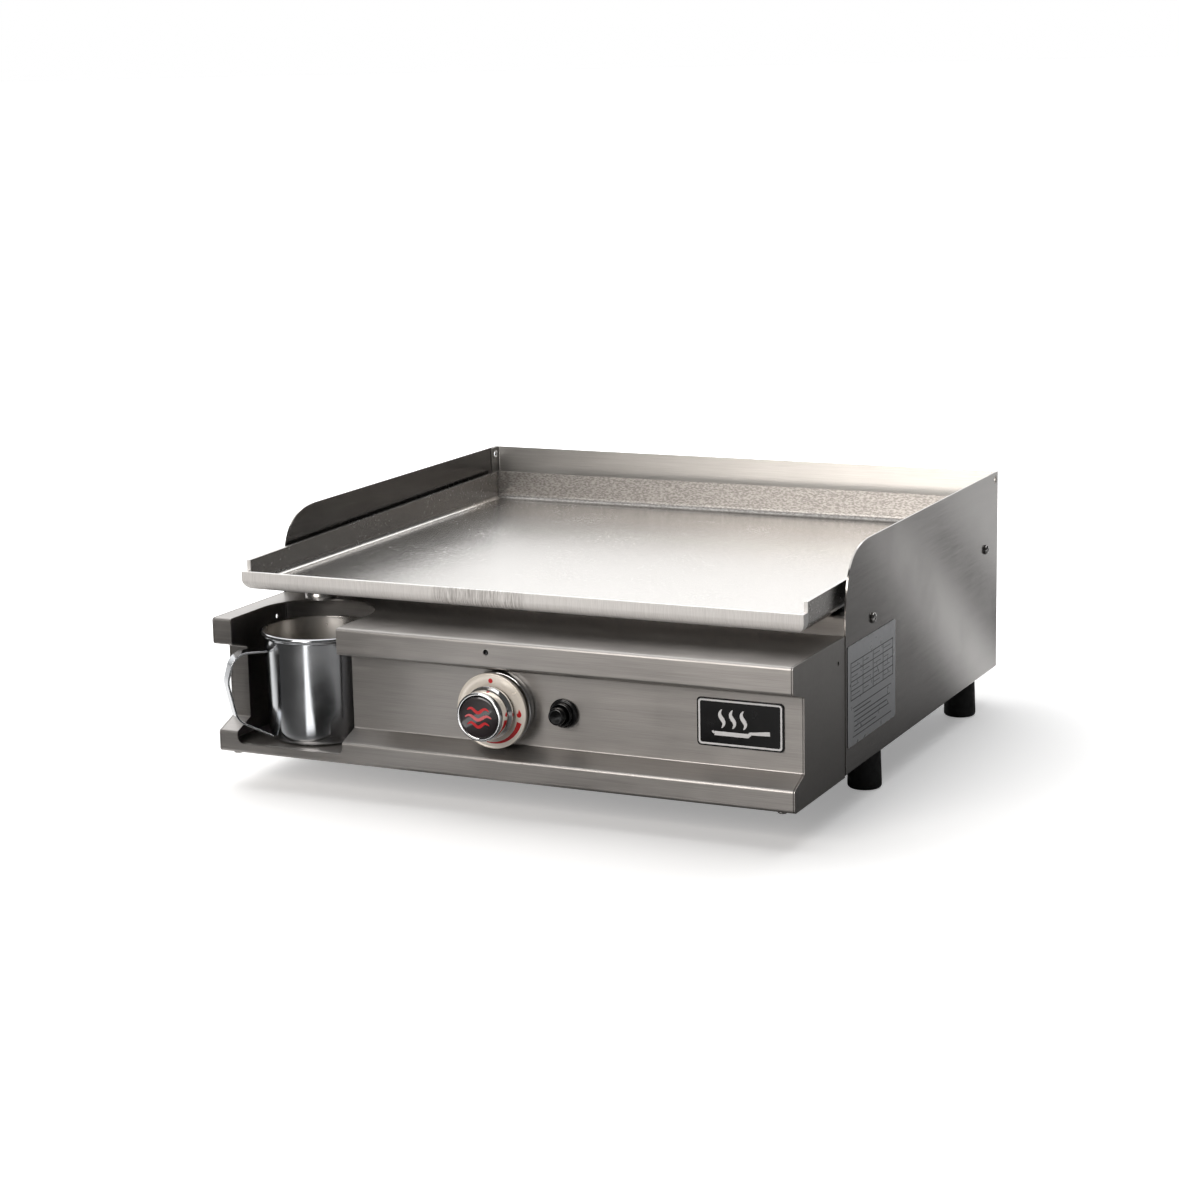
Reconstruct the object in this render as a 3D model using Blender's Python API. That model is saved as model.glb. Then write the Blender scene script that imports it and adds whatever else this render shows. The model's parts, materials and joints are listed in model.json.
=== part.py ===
"""Countertop gas griddle (plancha): a folded stainless chassis with a control console in front,
a lift-off steel plate with a drain, a grease mug in a bay, one burner, one valve and one igniter.

The sizes below are in millimetres in the console's own frame: x to the right, y to the back and
z up, with y = 0 on the front of the console's upper strip and z = 0 on the console's top. The
empty called griddle_frame then puts the middle of the feet's underside at the world origin.
"""

import math

import bmesh
import bpy
from mathutils import Matrix, Vector

MM = 0.001
GAP = 0.3                      # air left between pieces that touch

# ------------------------------------------------------------------ driving dimensions
SHEET = 1.2                    # chassis and console sheet
BEND = 1.8                     # bend radius of the sheet, on its middle line
CONSOLE_HALF = 230.0           # half width over the end caps
CONSOLE_BACK = 99.8
CONSOLE_BOTTOM = -102.4
STRIP_HEIGHT = 18.8            # upper strip of the console
RECESS_Y = 21.0                # front of the recessed control panel
RECESS_TOP = -24.5
RECESS_BOTTOM = -80.0
LOWER_Y = 2.3                  # front of the lower strip
LOWER_TOP = -87.3

PANEL_HALF = 230.4             # half width over the side panels
BODY_FRONT = 100.5
BODY_BACK = 460.5
PANEL_TOP = 62.0
PANEL_BOTTOM = -102.0

PLATE_HALF = 224.7
PLATE_SHEET = 3.0
PLATE_FRONT = 34.0
PLATE_BACK = 449.0
PLATE_UNDER = 14.5
PLATE_BEND = 8.0               # outer radius of the plate's folds
LIP_TOP = 28.5
WALL_TOP_FRONT = 36.0
WALL_TOP_BACK = 41.6

MUG_X = -169.0
MUG_Y = 50.0
MUG_RIM = -13.0
MUG_BASE = -95.3
MUG_RIM_R = 44.0
HANDLE_TURN = 228.0            # direction of the mug's handle, in degrees from +x
BAY_HALF = 45.2                # half width of the mug's window
BAY_FLOOR = -95.6

KNOB_X = -1.5
KNOB_Z = -52.3
KNOB_FRONT = -14.4

IGNITER_X = 49.2

FOOT_X = 217.0
FOOT_ROWS = {"front": 177.0, "rear": 405.0}
FOOT_R = 12.75
FLOOR_Z = -130.5
SIDE_SCREWS = {"front": (156.7, 2.0), "rear": (428.0, 2.6)}
BURNER_X = 105.0
BURNER_Z = KNOB_Z
INLET_X = 150.0
INLET_Z = -84.0
INLET_END = 484.0

FRAME_SHIFT_Y = -(KNOB_FRONT + INLET_END) / 2

SIDES = {"left": -1, "right": 1}

for old in list(bpy.data.objects):
    bpy.data.objects.remove(old, do_unlink=True)

frame = bpy.data.objects.new("griddle_frame", None)
frame.location = (0, FRAME_SHIFT_Y * MM, -FLOOR_Z * MM)
bpy.context.scene.collection.objects.link(frame)


# ------------------------------------------------------------------ materials
def finish(name, colour, metallic, roughness):
    """A Principled material of one colour."""
    material = bpy.data.materials.new(name)
    material.use_nodes = True
    shader = material.node_tree.nodes["Principled BSDF"]
    shader.inputs["Base Color"].default_value = (*colour, 1)
    shader.inputs["Metallic"].default_value = metallic
    shader.inputs["Roughness"].default_value = roughness
    material.diffuse_color = (*colour, 1)
    return material


BRUSHED = finish("brushed_stainless", (0.42, 0.41, 0.40), 1.0, 0.38)
PLATE_STEEL = finish("plate_steel", (0.50, 0.49, 0.48), 1.0, 0.30)
POLISHED = finish("polished_stainless", (0.62, 0.62, 0.63), 1.0, 0.08)
CHROME = finish("chrome", (0.70, 0.70, 0.70), 1.0, 0.06)
GALVANISED = finish("galvanised_steel", (0.36, 0.37, 0.38), 1.0, 0.5)
BRASS = finish("brass", (0.60, 0.42, 0.16), 1.0, 0.3)
COPPER = finish("copper", (0.60, 0.27, 0.16), 1.0, 0.35)
BLACK_PLASTIC = finish("black_plastic", (0.015, 0.015, 0.016), 0.0, 0.3)
RUBBER = finish("black_rubber", (0.012, 0.012, 0.012), 0.0, 0.75)
SPRING_STEEL = finish("spring_steel", (0.45, 0.45, 0.46), 1.0, 0.3)
CERAMIC = finish("white_ceramic", (0.75, 0.73, 0.68), 0.0, 0.25)
SILICONE = finish("silicone_lead", (0.10, 0.02, 0.015), 0.0, 0.6)
ENAMEL = finish("badge_enamel", (0.02, 0.02, 0.02), 0.0, 0.2)
FOIL = finish("label_foil", (0.45, 0.46, 0.47), 0.6, 0.4)


# ------------------------------------------------------------------ building blocks
def place(name, bm, material, origin=(0, 0, 0), smooth=False):
    """Makes an object of a mesh that is drawn in millimetres around its own origin."""
    bmesh.ops.recalc_face_normals(bm, faces=bm.faces[:])
    bmesh.ops.scale(bm, vec=(MM, MM, MM), verts=bm.verts[:])
    mesh = bpy.data.meshes.new(name)
    bm.to_mesh(mesh)
    bm.free()
    if smooth:
        mesh.shade_smooth()
        mesh.set_sharp_from_angle(angle=math.radians(32))
    mesh.materials.append(material)
    thing = bpy.data.objects.new(name, mesh)
    thing.location = Vector(origin) * MM
    thing.parent = frame
    bpy.context.scene.collection.objects.link(thing)
    return thing


def prism(outline, axis, start, end):
    """A closed outline extruded along x, y or z: (y, z), (x, z) or (x, y) points."""
    order = {"x": lambda a, b, h: (h, a, b), "y": lambda a, b, h: (a, h, b),
             "z": lambda a, b, h: (a, b, h)}[axis]
    bm = bmesh.new()
    first = bm.faces.new([bm.verts.new(order(a, b, start)) for a, b in outline])
    grown = bmesh.ops.extrude_face_region(bm, geom=[first])
    moved = [part for part in grown["geom"] if isinstance(part, bmesh.types.BMVert)]
    shift = Vector(order(0, 0, end - start))
    bmesh.ops.translate(bm, vec=shift, verts=moved)
    return bm


def block(low, high):
    """A plain box between two corners."""
    (x0, y0, z0), (x1, y1, z1) = low, high
    return prism([(x0, y0), (x1, y0), (x1, y1), (x0, y1)], "z", z0, z1)


def arc(cx, cy, radius, start, end, steps):
    """Points on an arc, both ends included, with the angles in degrees."""
    points = []
    for step in range(steps + 1):
        turn = math.radians(start + (end - start) * step / steps)
        points.append((cx + radius * math.cos(turn), cy + radius * math.sin(turn)))
    return points


def turned(profile, axis="z", segments=32):
    """A solid turned from (radius, height) points, closed onto its axis or onto itself."""
    bm = bmesh.new()
    ring = [bm.verts.new((radius, 0, height)) for radius, height in profile]
    edges = [bm.edges.new(pair) for pair in zip(ring, ring[1:])]
    if profile[0][0] > 0 or profile[-1][0] > 0:
        edges.append(bm.edges.new((ring[-1], ring[0])))
    bmesh.ops.spin(bm, geom=ring + edges, axis=(0, 0, 1), cent=(0, 0, 0),
                   angle=2 * math.pi, steps=segments, use_merge=True)
    bmesh.ops.remove_doubles(bm, verts=bm.verts[:], dist=0.0001)
    bmesh.ops.dissolve_degenerate(bm, edges=bm.edges[:], dist=0.0001)
    turn = {"z": Matrix.Identity(4), "-y": Matrix.Rotation(math.radians(90), 4, "X"),
            "y": Matrix.Rotation(math.radians(-90), 4, "X"),
            "x": Matrix.Rotation(math.radians(90), 4, "Y"),
            "-x": Matrix.Rotation(math.radians(-90), 4, "Y")}[axis]
    bmesh.ops.transform(bm, matrix=turn, verts=bm.verts[:])
    return bm


def rod(radius, start, end, axis="z", segments=24):
    """A plain round bar along an axis, as (height from, height to)."""
    return turned([(0, start), (radius, start), (radius, end), (0, end)], axis, segments)


def bent_path(corners, radius, steps=3):
    """The corners with rounded bends, as (point, unit normal) pairs; the normal is to the left."""
    path = []
    last = len(corners) - 1
    for index, corner in enumerate(corners):
        here = Vector(corner)
        if index in (0, last):
            other = Vector(corners[1 if index == 0 else last - 1])
            along = (other - here) if index == 0 else (here - other)
            along.normalize()
            path.append((here, Vector((-along.y, along.x))))
            continue
        back = (Vector(corners[index - 1]) - here).normalized()
        ahead = (Vector(corners[index + 1]) - here).normalized()
        half = back.angle(ahead) / 2
        reach = radius / math.tan(half)
        centre = here + (back + ahead).normalized() * radius / math.sin(half)
        start = here + back * reach - centre
        sweep = start.angle_signed(here + ahead * reach - centre)
        side = 1 if (-back).cross(ahead) > 0 else -1
        for step in range(steps + 1):
            spoke = start.copy()
            spoke.rotate(Matrix.Rotation(-sweep * step / steps, 2))
            path.append((centre + spoke, -spoke.normalized() * side))
    return path


def folded(corners, thickness=SHEET, radius=BEND, steps=3):
    """The outline of a sheet folded along the corners, which lie on its middle line."""
    path = bent_path(corners, radius, steps)
    upper = [tuple(point + normal * thickness / 2) for point, normal in path]
    lower = [tuple(point - normal * thickness / 2) for point, normal in path]
    return upper + lower[::-1]


def cutter(bm, name, origin=(0, 0, 0)):
    """A tool for Boolean cuts, which isn't part of the object."""
    tool = place(name, bm, BRUSHED, origin)
    tool.hide_render = True
    tool.display_type = "WIRE"
    return tool


def change(thing, tool, operation="DIFFERENCE"):
    """Cuts a tool out of a thing, or joins it on."""
    step = thing.modifiers.new(tool.name, "BOOLEAN")
    step.operation = operation
    step.object = tool
    step.solver = "EXACT"


def drill(thing, where, radius, axis, length=20, segments=12):
    """A round hole through the point where, running length both ways along an axis."""
    tool = cutter(rod(radius, -length, length, axis, segments), thing.name + "_hole", where)
    change(thing, tool)


def hex_nut(name, radius, hole, thickness, where, material):
    """A hexagonal nut on an axis along y, from where to thickness further back."""
    x, y, z = where
    nut = place(name, prism(arc(x, z, radius, 0, 300, 5), "y", y, y + thickness), material)
    drill(nut, where, hole, "y", 2 * thickness, 24)


def smooth_route(stops, step=12):
    """A Catmull-Rom curve through the stops, with a point about every step millimetres."""
    stops = [Vector(stop) for stop in stops]
    ends = [2 * stops[0] - stops[1]] + stops + [2 * stops[-1] - stops[-2]]
    route = []
    for a, b, c, d in zip(ends, ends[1:], ends[2:], ends[3:]):
        pieces = max(1, round((c - b).length / step))
        for piece in range(pieces):
            t = piece / pieces
            route.append(((2 * b) + (c - a) * t + (2 * a - 5 * b + 4 * c - d) * t ** 2
                          + (3 * b - a - 3 * c + d) * t ** 3) / 2)
    return route + [stops[-1]]


def pipe(name, stops, radius, material, step=12, sides=3):
    """A round pipe or lead along a smooth route, closed at both ends."""
    curve = bpy.data.curves.new(name, "CURVE")
    curve.dimensions = "3D"
    curve.bevel_depth = radius * MM
    curve.bevel_resolution = sides - 1
    curve.use_fill_caps = True
    route = smooth_route(stops, step)
    line = curve.splines.new("POLY")
    line.points.add(len(route) - 1)
    for point, spot in zip(line.points, route):
        point.co = (*(spot * MM), 1)
    curve.materials.append(material)
    thing = bpy.data.objects.new(name, curve)
    thing.parent = frame
    bpy.context.scene.collection.objects.link(thing)
    return thing


def coil(name, radius, wire, turns, length, origin, material):
    """A compression spring along +y from the origin, with square-cut wire ends."""
    per_turn, around = 12, 5
    bm = bmesh.new()
    rings = []
    for index in range(turns * per_turn + 1):
        turn = 2 * math.pi * index / per_turn
        centre = Vector((radius * math.cos(turn), 0, radius * math.sin(turn)))
        outward = centre.normalized()
        centre.y = wire + (length - 2 * wire) * index / (turns * per_turn)
        ring = []
        for side in range(around):
            lean = 2 * math.pi * side / around
            offset = outward * math.cos(lean) + Vector((0, 1, 0)) * math.sin(lean)
            ring.append(bm.verts.new(centre + offset * wire))
        rings.append(ring)
    for one, two in zip(rings, rings[1:]):
        for side in range(around):
            nxt = (side + 1) % around
            bm.faces.new((one[side], one[nxt], two[nxt], two[side]))
    bm.faces.new(rings[0])
    bm.faces.new(rings[-1][::-1])
    return place(name, bm, material, origin, smooth=True)


# ------------------------------------------------------------------ console
CONSOLE_LINE = [(CONSOLE_BACK, -SHEET / 2), (SHEET / 2, -SHEET / 2),
                (SHEET / 2, -STRIP_HEIGHT - 0.4), (RECESS_Y + SHEET / 2, RECESS_TOP - 0.4),
                (RECESS_Y + SHEET / 2, RECESS_BOTTOM + 0.4), (LOWER_Y + SHEET / 2, LOWER_TOP + 0.4),
                (LOWER_Y + SHEET / 2, CONSOLE_BOTTOM + SHEET / 2),
                (CONSOLE_BACK, CONSOLE_BOTTOM + SHEET / 2)]


def console_outline(inset):
    """The console's side view, grown outwards by a negative inset from the sheet's middle."""
    return [tuple(point + normal * inset) for point, normal in bent_path(CONSOLE_LINE, BEND)]


def make_console_shell():
    """One sheet folded round the console, with the mug's window, and holes for the controls."""
    half = CONSOLE_HALF - SHEET - GAP
    shell = place("console_shell", prism(folded(CONSOLE_LINE), "x", -half, half), BRUSHED, smooth=True)
    left, right = MUG_X - BAY_HALF, MUG_X + BAY_HALF
    mouth = [(left, -10), (right, -10)] + arc(MUG_X, MUG_Y - 5, BAY_HALF, 0, 180, 16)
    change(shell, cutter(prism(mouth, "z", -15, 10), "mug_mouth_cut"))
    sill = BAY_FLOOR + 0.2
    window = [(left, -8), (right, -8)] + arc(right - 5, sill + 5, 5, 0, -90, 4)
    window += arc(left + 5, sill + 5, 5, -90, -180, 4)
    change(shell, cutter(prism(window, "y", -10, 40), "mug_window_cut"))
    drill(shell, (KNOB_X, RECESS_Y, KNOB_Z), 5.0, "y", 8)
    drill(shell, (IGNITER_X, RECESS_Y, KNOB_Z), 8.6, "y", 8, 24)
    drill(shell, (KNOB_X, 0, -8.3), 2.1, "y", 8)
    for side in SIDES.values():
        drill(shell, (side * 218.3, 9, CONSOLE_BOTTOM), 2.4, "z", 5)
    change(shell, cutter(block((-228.1, 28, -105), (-225.3, 62, -98)), "drip_slot_cut"))
    return shell


def make_console_end(name, side):
    """An end cap with a small inward flange for its screw, and a rivet hole high at the back."""
    outer = side * CONSOLE_HALF
    inner = side * (CONSOLE_HALF - SHEET)
    side_view = console_outline(-SHEET / 2)
    cap = place(name, prism(side_view, "x", min(outer, inner), max(outer, inner)), BRUSHED)
    reach = sorted((side * 210, side * (CONSOLE_HALF - 0.5)))
    low = CONSOLE_BOTTOM + SHEET + GAP
    flange = cutter(block((reach[0], 7.2, low), (reach[1], 22, low + SHEET)), name + "_flange")
    change(cap, flange, "UNION")
    drill(cap, (side * 218.3, 9.6, low), 2.4, "z", 5)
    drill(cap, (outer, 87, -16.6), 1.6, "x", 4, 12)


def make_mug_bay():
    """The shelf that the mug stands on and the wall between the bay and the valve."""
    line = [(100.2, BAY_FLOOR - SHEET / 2), (5.7, BAY_FLOOR - SHEET / 2), (5.7, -100.6)]
    shelf = prism(folded(line), "x", -224.6, -124.2)
    place("bay_floor", shelf, BRUSHED)
    wall = console_outline(SHEET / 2 + 0.8)
    place("bay_divider", prism(wall, "x", -122.8, -121.6), BRUSHED)


# ------------------------------------------------------------------ chassis
def panel_cut():
    """What the side panel's curved front corner leaves out, in side view."""
    one, two = Vector((100.5, 5)), Vector((102, 48))
    three, four = Vector((112, PANEL_TOP + 1)), Vector((160, PANEL_TOP))
    curve = []
    steps = 12
    for step in range(steps + 1):
        t = step / steps
        spot = (one * (1 - t) ** 3 + two * 3 * t * (1 - t) ** 2
                + three * 3 * t ** 2 * (1 - t) + four * t ** 3)
        curve.append((spot.x, min(spot.y, PANEL_TOP)))
    return [(90, 5)] + curve + [(470, PANEL_TOP), (470, 120), (90, 120)]


def make_side_panel(name, side):
    """A side panel with a bottom flange for the feet and a curved front corner."""
    face = side * (PANEL_HALF - SHEET / 2)
    line = [(face, 90), (face, PANEL_BOTTOM + SHEET / 2), (side * 206, PANEL_BOTTOM + SHEET / 2)]
    panel = place(name, prism(folded(line), "y", BODY_FRONT, BODY_BACK), BRUSHED)
    change(panel, cutter(prism(panel_cut(), "x", -260, 260), name + "_corner_cut"))
    for y, z in SIDE_SCREWS.values():
        drill(panel, (face, y, z), 2.4, "x", 6)
    drill(panel, (face, 453.7, 56.0), 3.2, "x", 6)
    for y in FOOT_ROWS.values():
        drill(panel, (side * FOOT_X, y, PANEL_BOTTOM), 2.6, "z", 6)


def make_back_panel():
    """The splash back, with side flanges, low vents and the gas inlet's hole."""
    half = PANEL_HALF - SHEET - GAP - SHEET / 2
    line = [(-half, 447), (-half, BODY_BACK - 0.9), (half, BODY_BACK - 0.9), (half, 447)]
    panel = place("back_panel", prism(folded(line), "z", -99, PANEL_TOP - GAP), BRUSHED)
    for side in SIDES.values():
        drill(panel, (side * half, 453.7, 56.0), 3.2, "x", 5)
    drill(panel, (INLET_X, BODY_BACK, INLET_Z), 6.9, "y", 5)
    for index in range(6):
        x = -150 + index * 50
        slot = arc(x + 14, -40, 3, -90, 90, 6) + arc(x - 14, -40, 3, 90, 270, 6)
        change(panel, cutter(prism(slot, "y", 450, 470), "back_vent_cut"))


def make_front_bulkhead():
    """The wall between the console and the burner box; its top flange carries the plate."""
    top = PLATE_UNDER - GAP - SHEET / 2
    line = [(101.6, -98.8), (101.6, top), (116, top)]
    half = PANEL_HALF - SHEET - GAP
    wall = place("front_bulkhead", prism(folded(line), "x", -half, half), BRUSHED)
    for x, z, radius in ((KNOB_X, KNOB_Z, 12.2), (INLET_X, INLET_Z, 6.2), (-40, -30, 3), (70, -35, 3.4)):
        drill(wall, (x, 101.6, z), radius, "y", 6)


def make_bottom_pan():
    """The flat floor of the burner box, held by the feet's screws."""
    half = PANEL_HALF - SHEET - BEND
    low = PANEL_BOTTOM + SHEET + GAP
    pan = place("bottom_pan", block((-half, 102.5, low), (half, 458.6, low + SHEET)), GALVANISED)
    for side in SIDES.values():
        for y in FOOT_ROWS.values():
            drill(pan, (side * FOOT_X, y, low), 2.6, "z", 6)
    for index in range(5):
        x = -120 + index * 60
        slot = arc(x, 400, 4, 0, 180, 6) + arc(x, 210, 4, 180, 360, 6)
        change(pan, cutter(prism(slot, "z", -105, -95), "pan_vent_cut"))


def make_plate_rail(name, side):
    """An angle screwed inside a side panel, on which the plate rests."""
    face = side * (PANEL_HALF - SHEET - GAP - SHEET / 2)
    top = PLATE_UNDER - GAP - SHEET / 2
    line = [(face, -8), (face, top), (side * 205, top)]
    rail = place(name, prism(folded(line), "y", 118, 440), GALVANISED)
    for y, z in SIDE_SCREWS.values():
        drill(rail, (face, y, z), 2.4, "x", 4)


# ------------------------------------------------------------------ griddle plate
def pan_side(front, back, floor, radius, tops):
    """A tray's side view: the two tops, and a floor with round corners between them."""
    front_top, back_top = tops
    round_front = arc(front + radius, floor + radius, radius, 180, 270, 6)
    round_back = arc(back - radius, floor + radius, radius, 270, 360, 6)
    return [(front, front_top)] + round_front + round_back + [(back, back_top)]


def make_plate():
    """The steel plate: a folded tray with a low front lip and side walls that rise to the back."""
    step = PLATE_FRONT + PLATE_BEND
    side_view = pan_side(PLATE_FRONT, PLATE_BACK, PLATE_UNDER, PLATE_BEND, (LIP_TOP, WALL_TOP_BACK))
    side_view += [(step, WALL_TOP_FRONT), (step, LIP_TOP)]
    plate = place("griddle_plate", prism(side_view, "x", -PLATE_HALF, PLATE_HALF), PLATE_STEEL, smooth=True)
    inner_radius = PLATE_BEND - PLATE_SHEET
    floor = PLATE_UNDER + PLATE_SHEET
    well = pan_side(PLATE_FRONT + PLATE_SHEET, PLATE_BACK - PLATE_SHEET, floor, inner_radius, (70, 70))
    half = PLATE_HALF - PLATE_SHEET
    across = pan_side(-half, half, floor, inner_radius, (70, 70))
    hollow = cutter(prism(well, "x", -half, half), "plate_hollow")
    trim = cutter(prism(across, "y", 0, 500), "plate_hollow_sides")
    change(hollow, trim, "INTERSECT")
    change(plate, hollow)
    for side in SIDES.values():
        edge, low = side * PLATE_HALF, PLATE_UNDER
        curve = arc(edge - side * PLATE_BEND, low + PLATE_BEND, PLATE_BEND,
                    -90, -90 + side * 90, 6)
        scrap = curve + [(edge + side * 5, low + PLATE_BEND), (edge + side * 5, low - 5), (curve[0][0], low - 5)]
        change(plate, cutter(prism(scrap, "y", step, 500), "plate_side_fold"))
    drill(plate, (MUG_X, MUG_Y + 6, PLATE_UNDER), 9, "z", 8, 24)
    collar = turned([(9.6, -6), (9.6, 0), (12, 0), (12, -6)], "z", 20)
    place("drain_collar", collar, PLATE_STEEL, (MUG_X, MUG_Y + 6, PLATE_UNDER - GAP), smooth=True)


# ------------------------------------------------------------------ burner and gas
def make_burner():
    """Two port tubes on a crossbar, fed by a venturi tube, on two folded stands."""
    bar = block((-118, 126, BURNER_Z - 11.7), (118, 150, BURNER_Z + 11.8))
    place("burner_crossbar", bar, BRUSHED)
    dome = [(0, 279)] + [(11 * math.sin(a), 274 + 5 * math.cos(a)) for a in (0.5, 1.0)] + [(11, 273)]
    for name, side in SIDES.items():
        tube = turned([(0, 0), (11, 0)] + dome[::-1], "y", 24)
        place("burner_tube_" + name, tube, BRUSHED, (side * BURNER_X, 150.3, BURNER_Z), smooth=True)
    for name, y, top in (("front", 128.4, -64.8), ("rear", 360, -64.2)):
        line = [(y, -98.4), (y + 14, -98.4), (y + 14, top), (y + 26, top)]
        if name == "front":
            line[3] = (y + 20, top)
        place("burner_stand_" + name, prism(folded(line), "x", -130, 130), GALVANISED)
    mouth = [(9.8, 0), (12.0, 0), (12.0, 1.6), (11.0, 4), (11.0, 39.4), (9.8, 39.4)]
    place("venturi_tube", turned(mouth, "y", 20), BRUSHED, (KNOB_X, 86, KNOB_Z), smooth=True)
    sleeve = [(11.4, 0), (12.8, 0), (12.8, 9), (11.4, 9)]
    place("air_shutter", turned(sleeve, "y", 20), GALVANISED, (KNOB_X, 91, KNOB_Z), smooth=True)


def make_valve():
    """The brass valve with its bore for the spindle, and the injector at its back."""
    body = block((KNOB_X - 13, 30, KNOB_Z - 13), (KNOB_X + 13, 68, KNOB_Z + 13))
    valve = place("gas_valve_body", body, BRASS)
    for bm, where in ((rod(9, -7.2, 1, "y"), (KNOB_X, 30, KNOB_Z)),
                      (rod(7, -1, 8, "y"), (KNOB_X, 68, KNOB_Z)),
                      (rod(7, -6, 1, "z"), (KNOB_X, 50, KNOB_Z - 13)),
                      (rod(4, -4, 1, "x", 16), (KNOB_X - 13, 58, KNOB_Z))):
        change(valve, cutter(bm, "valve_boss", where), "UNION")
    change(valve, cutter(rod(3.6, -8, 20, "y", 20), "valve_bore", (KNOB_X, 30, KNOB_Z)))
    spindle = turned([(0, -8.5), (2.5, -8.5), (3.0, -7.9), (3.0, 40.6), (0, 40.6)], "y", 20)
    place("valve_spindle", spindle, BRASS, (KNOB_X, 3.0, KNOB_Z), smooth=True)
    tip = turned([(0, 0), (6, 0), (6, 7), (4.2, 8.5), (2.6, 15), (0, 15)], "y", 12)
    place("gas_injector", tip, BRASS, (KNOB_X, 76.4, KNOB_Z))


def make_gas_line():
    """The threaded inlet at the back, its nut, and the pipe to the valve."""
    thread = [(0, 0), (4.6, 0)]
    for index in range(4):
        y = 25.0 + index * 3.4
        thread += [(6.4, y), (5.8, y + 1.7)]
    collar = [(6.4, 0.5), (6.4, 20.3), (10, 20.8), (10, 24.2)]
    nozzle = [(6.4, 39), (5.6, 44), (0, 44)]
    inlet = turned(thread[:2] + collar + thread[2:] + nozzle, "y", 16)
    place("gas_inlet", inlet, BRASS, (INLET_X, INLET_END - 44, INLET_Z))
    hex_nut("inlet_lock_nut", 11, 6.8, 6, (INLET_X, 452.4, INLET_Z), BRASS)
    stops = [(INLET_X, 439.6, INLET_Z), (INLET_X, 300, INLET_Z), (INLET_X, 130, INLET_Z),
             (INLET_X, 108, INLET_Z), (138, 72, -85), (100, 58, -88), (40, 51, -90),
             (14, 50, -89), (2, 50, -84.5), (KNOB_X, 50, -78), (KNOB_X, 50, -72.2)]
    pipe("gas_pipe", stops, 4.8, COPPER, step=16)


def make_flame_guard():
    """The thermocouple beside the left tube, and its capillary to the valve."""
    probe = turned([(0, 0), (3, 0), (3, 16), (2, 17), (2, 34), (0, 35)], "z", 14)
    place("thermocouple_probe", probe, COPPER, (-84, 186, -66), smooth=True)
    stops = [(KNOB_X - 17.6, 58, KNOB_Z), (-23, 58.4, -51.6), (-28, 66, -46), (-36, 88, -33),
             (-40, 101.6, -30), (-52, 122, -29), (-66, 152, -32), (-74, 166, -52), (-80, 178, -72),
             (-84, 186, -74), (-84, 186, -66.5)]
    pipe("thermocouple_lead", stops, 1.1, COPPER, step=8, sides=2)


def make_igniter():
    """The push igniter: housing, nut, button and spring, with the electrode and its lead."""
    y = RECESS_Y - GAP
    housing = [(0, 36), (6, 36), (8.3, 34), (8.3, GAP), (8.3, 0), (10.6, 0), (10.6, -2.2), (9.6, -3.2),
               (8.6, -3.2), (8.6, -7.2), (8.0, -7.8), (6.8, -7.8), (6.8, 31), (0, 31)]
    place("igniter_housing", turned(housing, "y", 20), BLACK_PLASTIC, (IGNITER_X, y, KNOB_Z), smooth=True)
    hex_nut("igniter_nut", 12.6, 8.7, 4, (IGNITER_X, RECESS_Y + SHEET + GAP, KNOB_Z), BLACK_PLASTIC)
    button = [(0, -7.2), (4.8, -7.2), (6.1, -6.4), (6.4, -5.2), (6.4, 16), (0, 16)]
    place("igniter_button", turned(button, "y", 20), BLACK_PLASTIC, (IGNITER_X, 13.4, KNOB_Z), smooth=True)
    start = 13.4 + 16 + GAP
    coil("igniter_spring", 4.4, 0.5, 5, y + 31 - GAP - start, (IGNITER_X, start, KNOB_Z), SPRING_STEEL)
    ceramic = turned([(0, 0), (3.4, 0), (3.4, 10), (4.4, 11), (4.4, 14), (3.2, 15), (3.2, 26),
                      (1.0, 27), (1.0, 44), (0, 44)], "y", 12)
    place("spark_electrode", ceramic, CERAMIC, (84, 166, -46), smooth=True)
    stops = [(IGNITER_X, y + 36.6, KNOB_Z), (49.4, 60, KNOB_Z), (52, 68, -51), (62, 88, -42),
             (70, 101.6, -35), (78, 122, -31), (83, 142, -31), (84, 151, -36),
             (84, 158, -44), (84, 162, -46), (84, 165.5, -46)]
    pipe("ignition_lead", stops, 1.6, SILICONE, step=8, sides=2)


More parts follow.
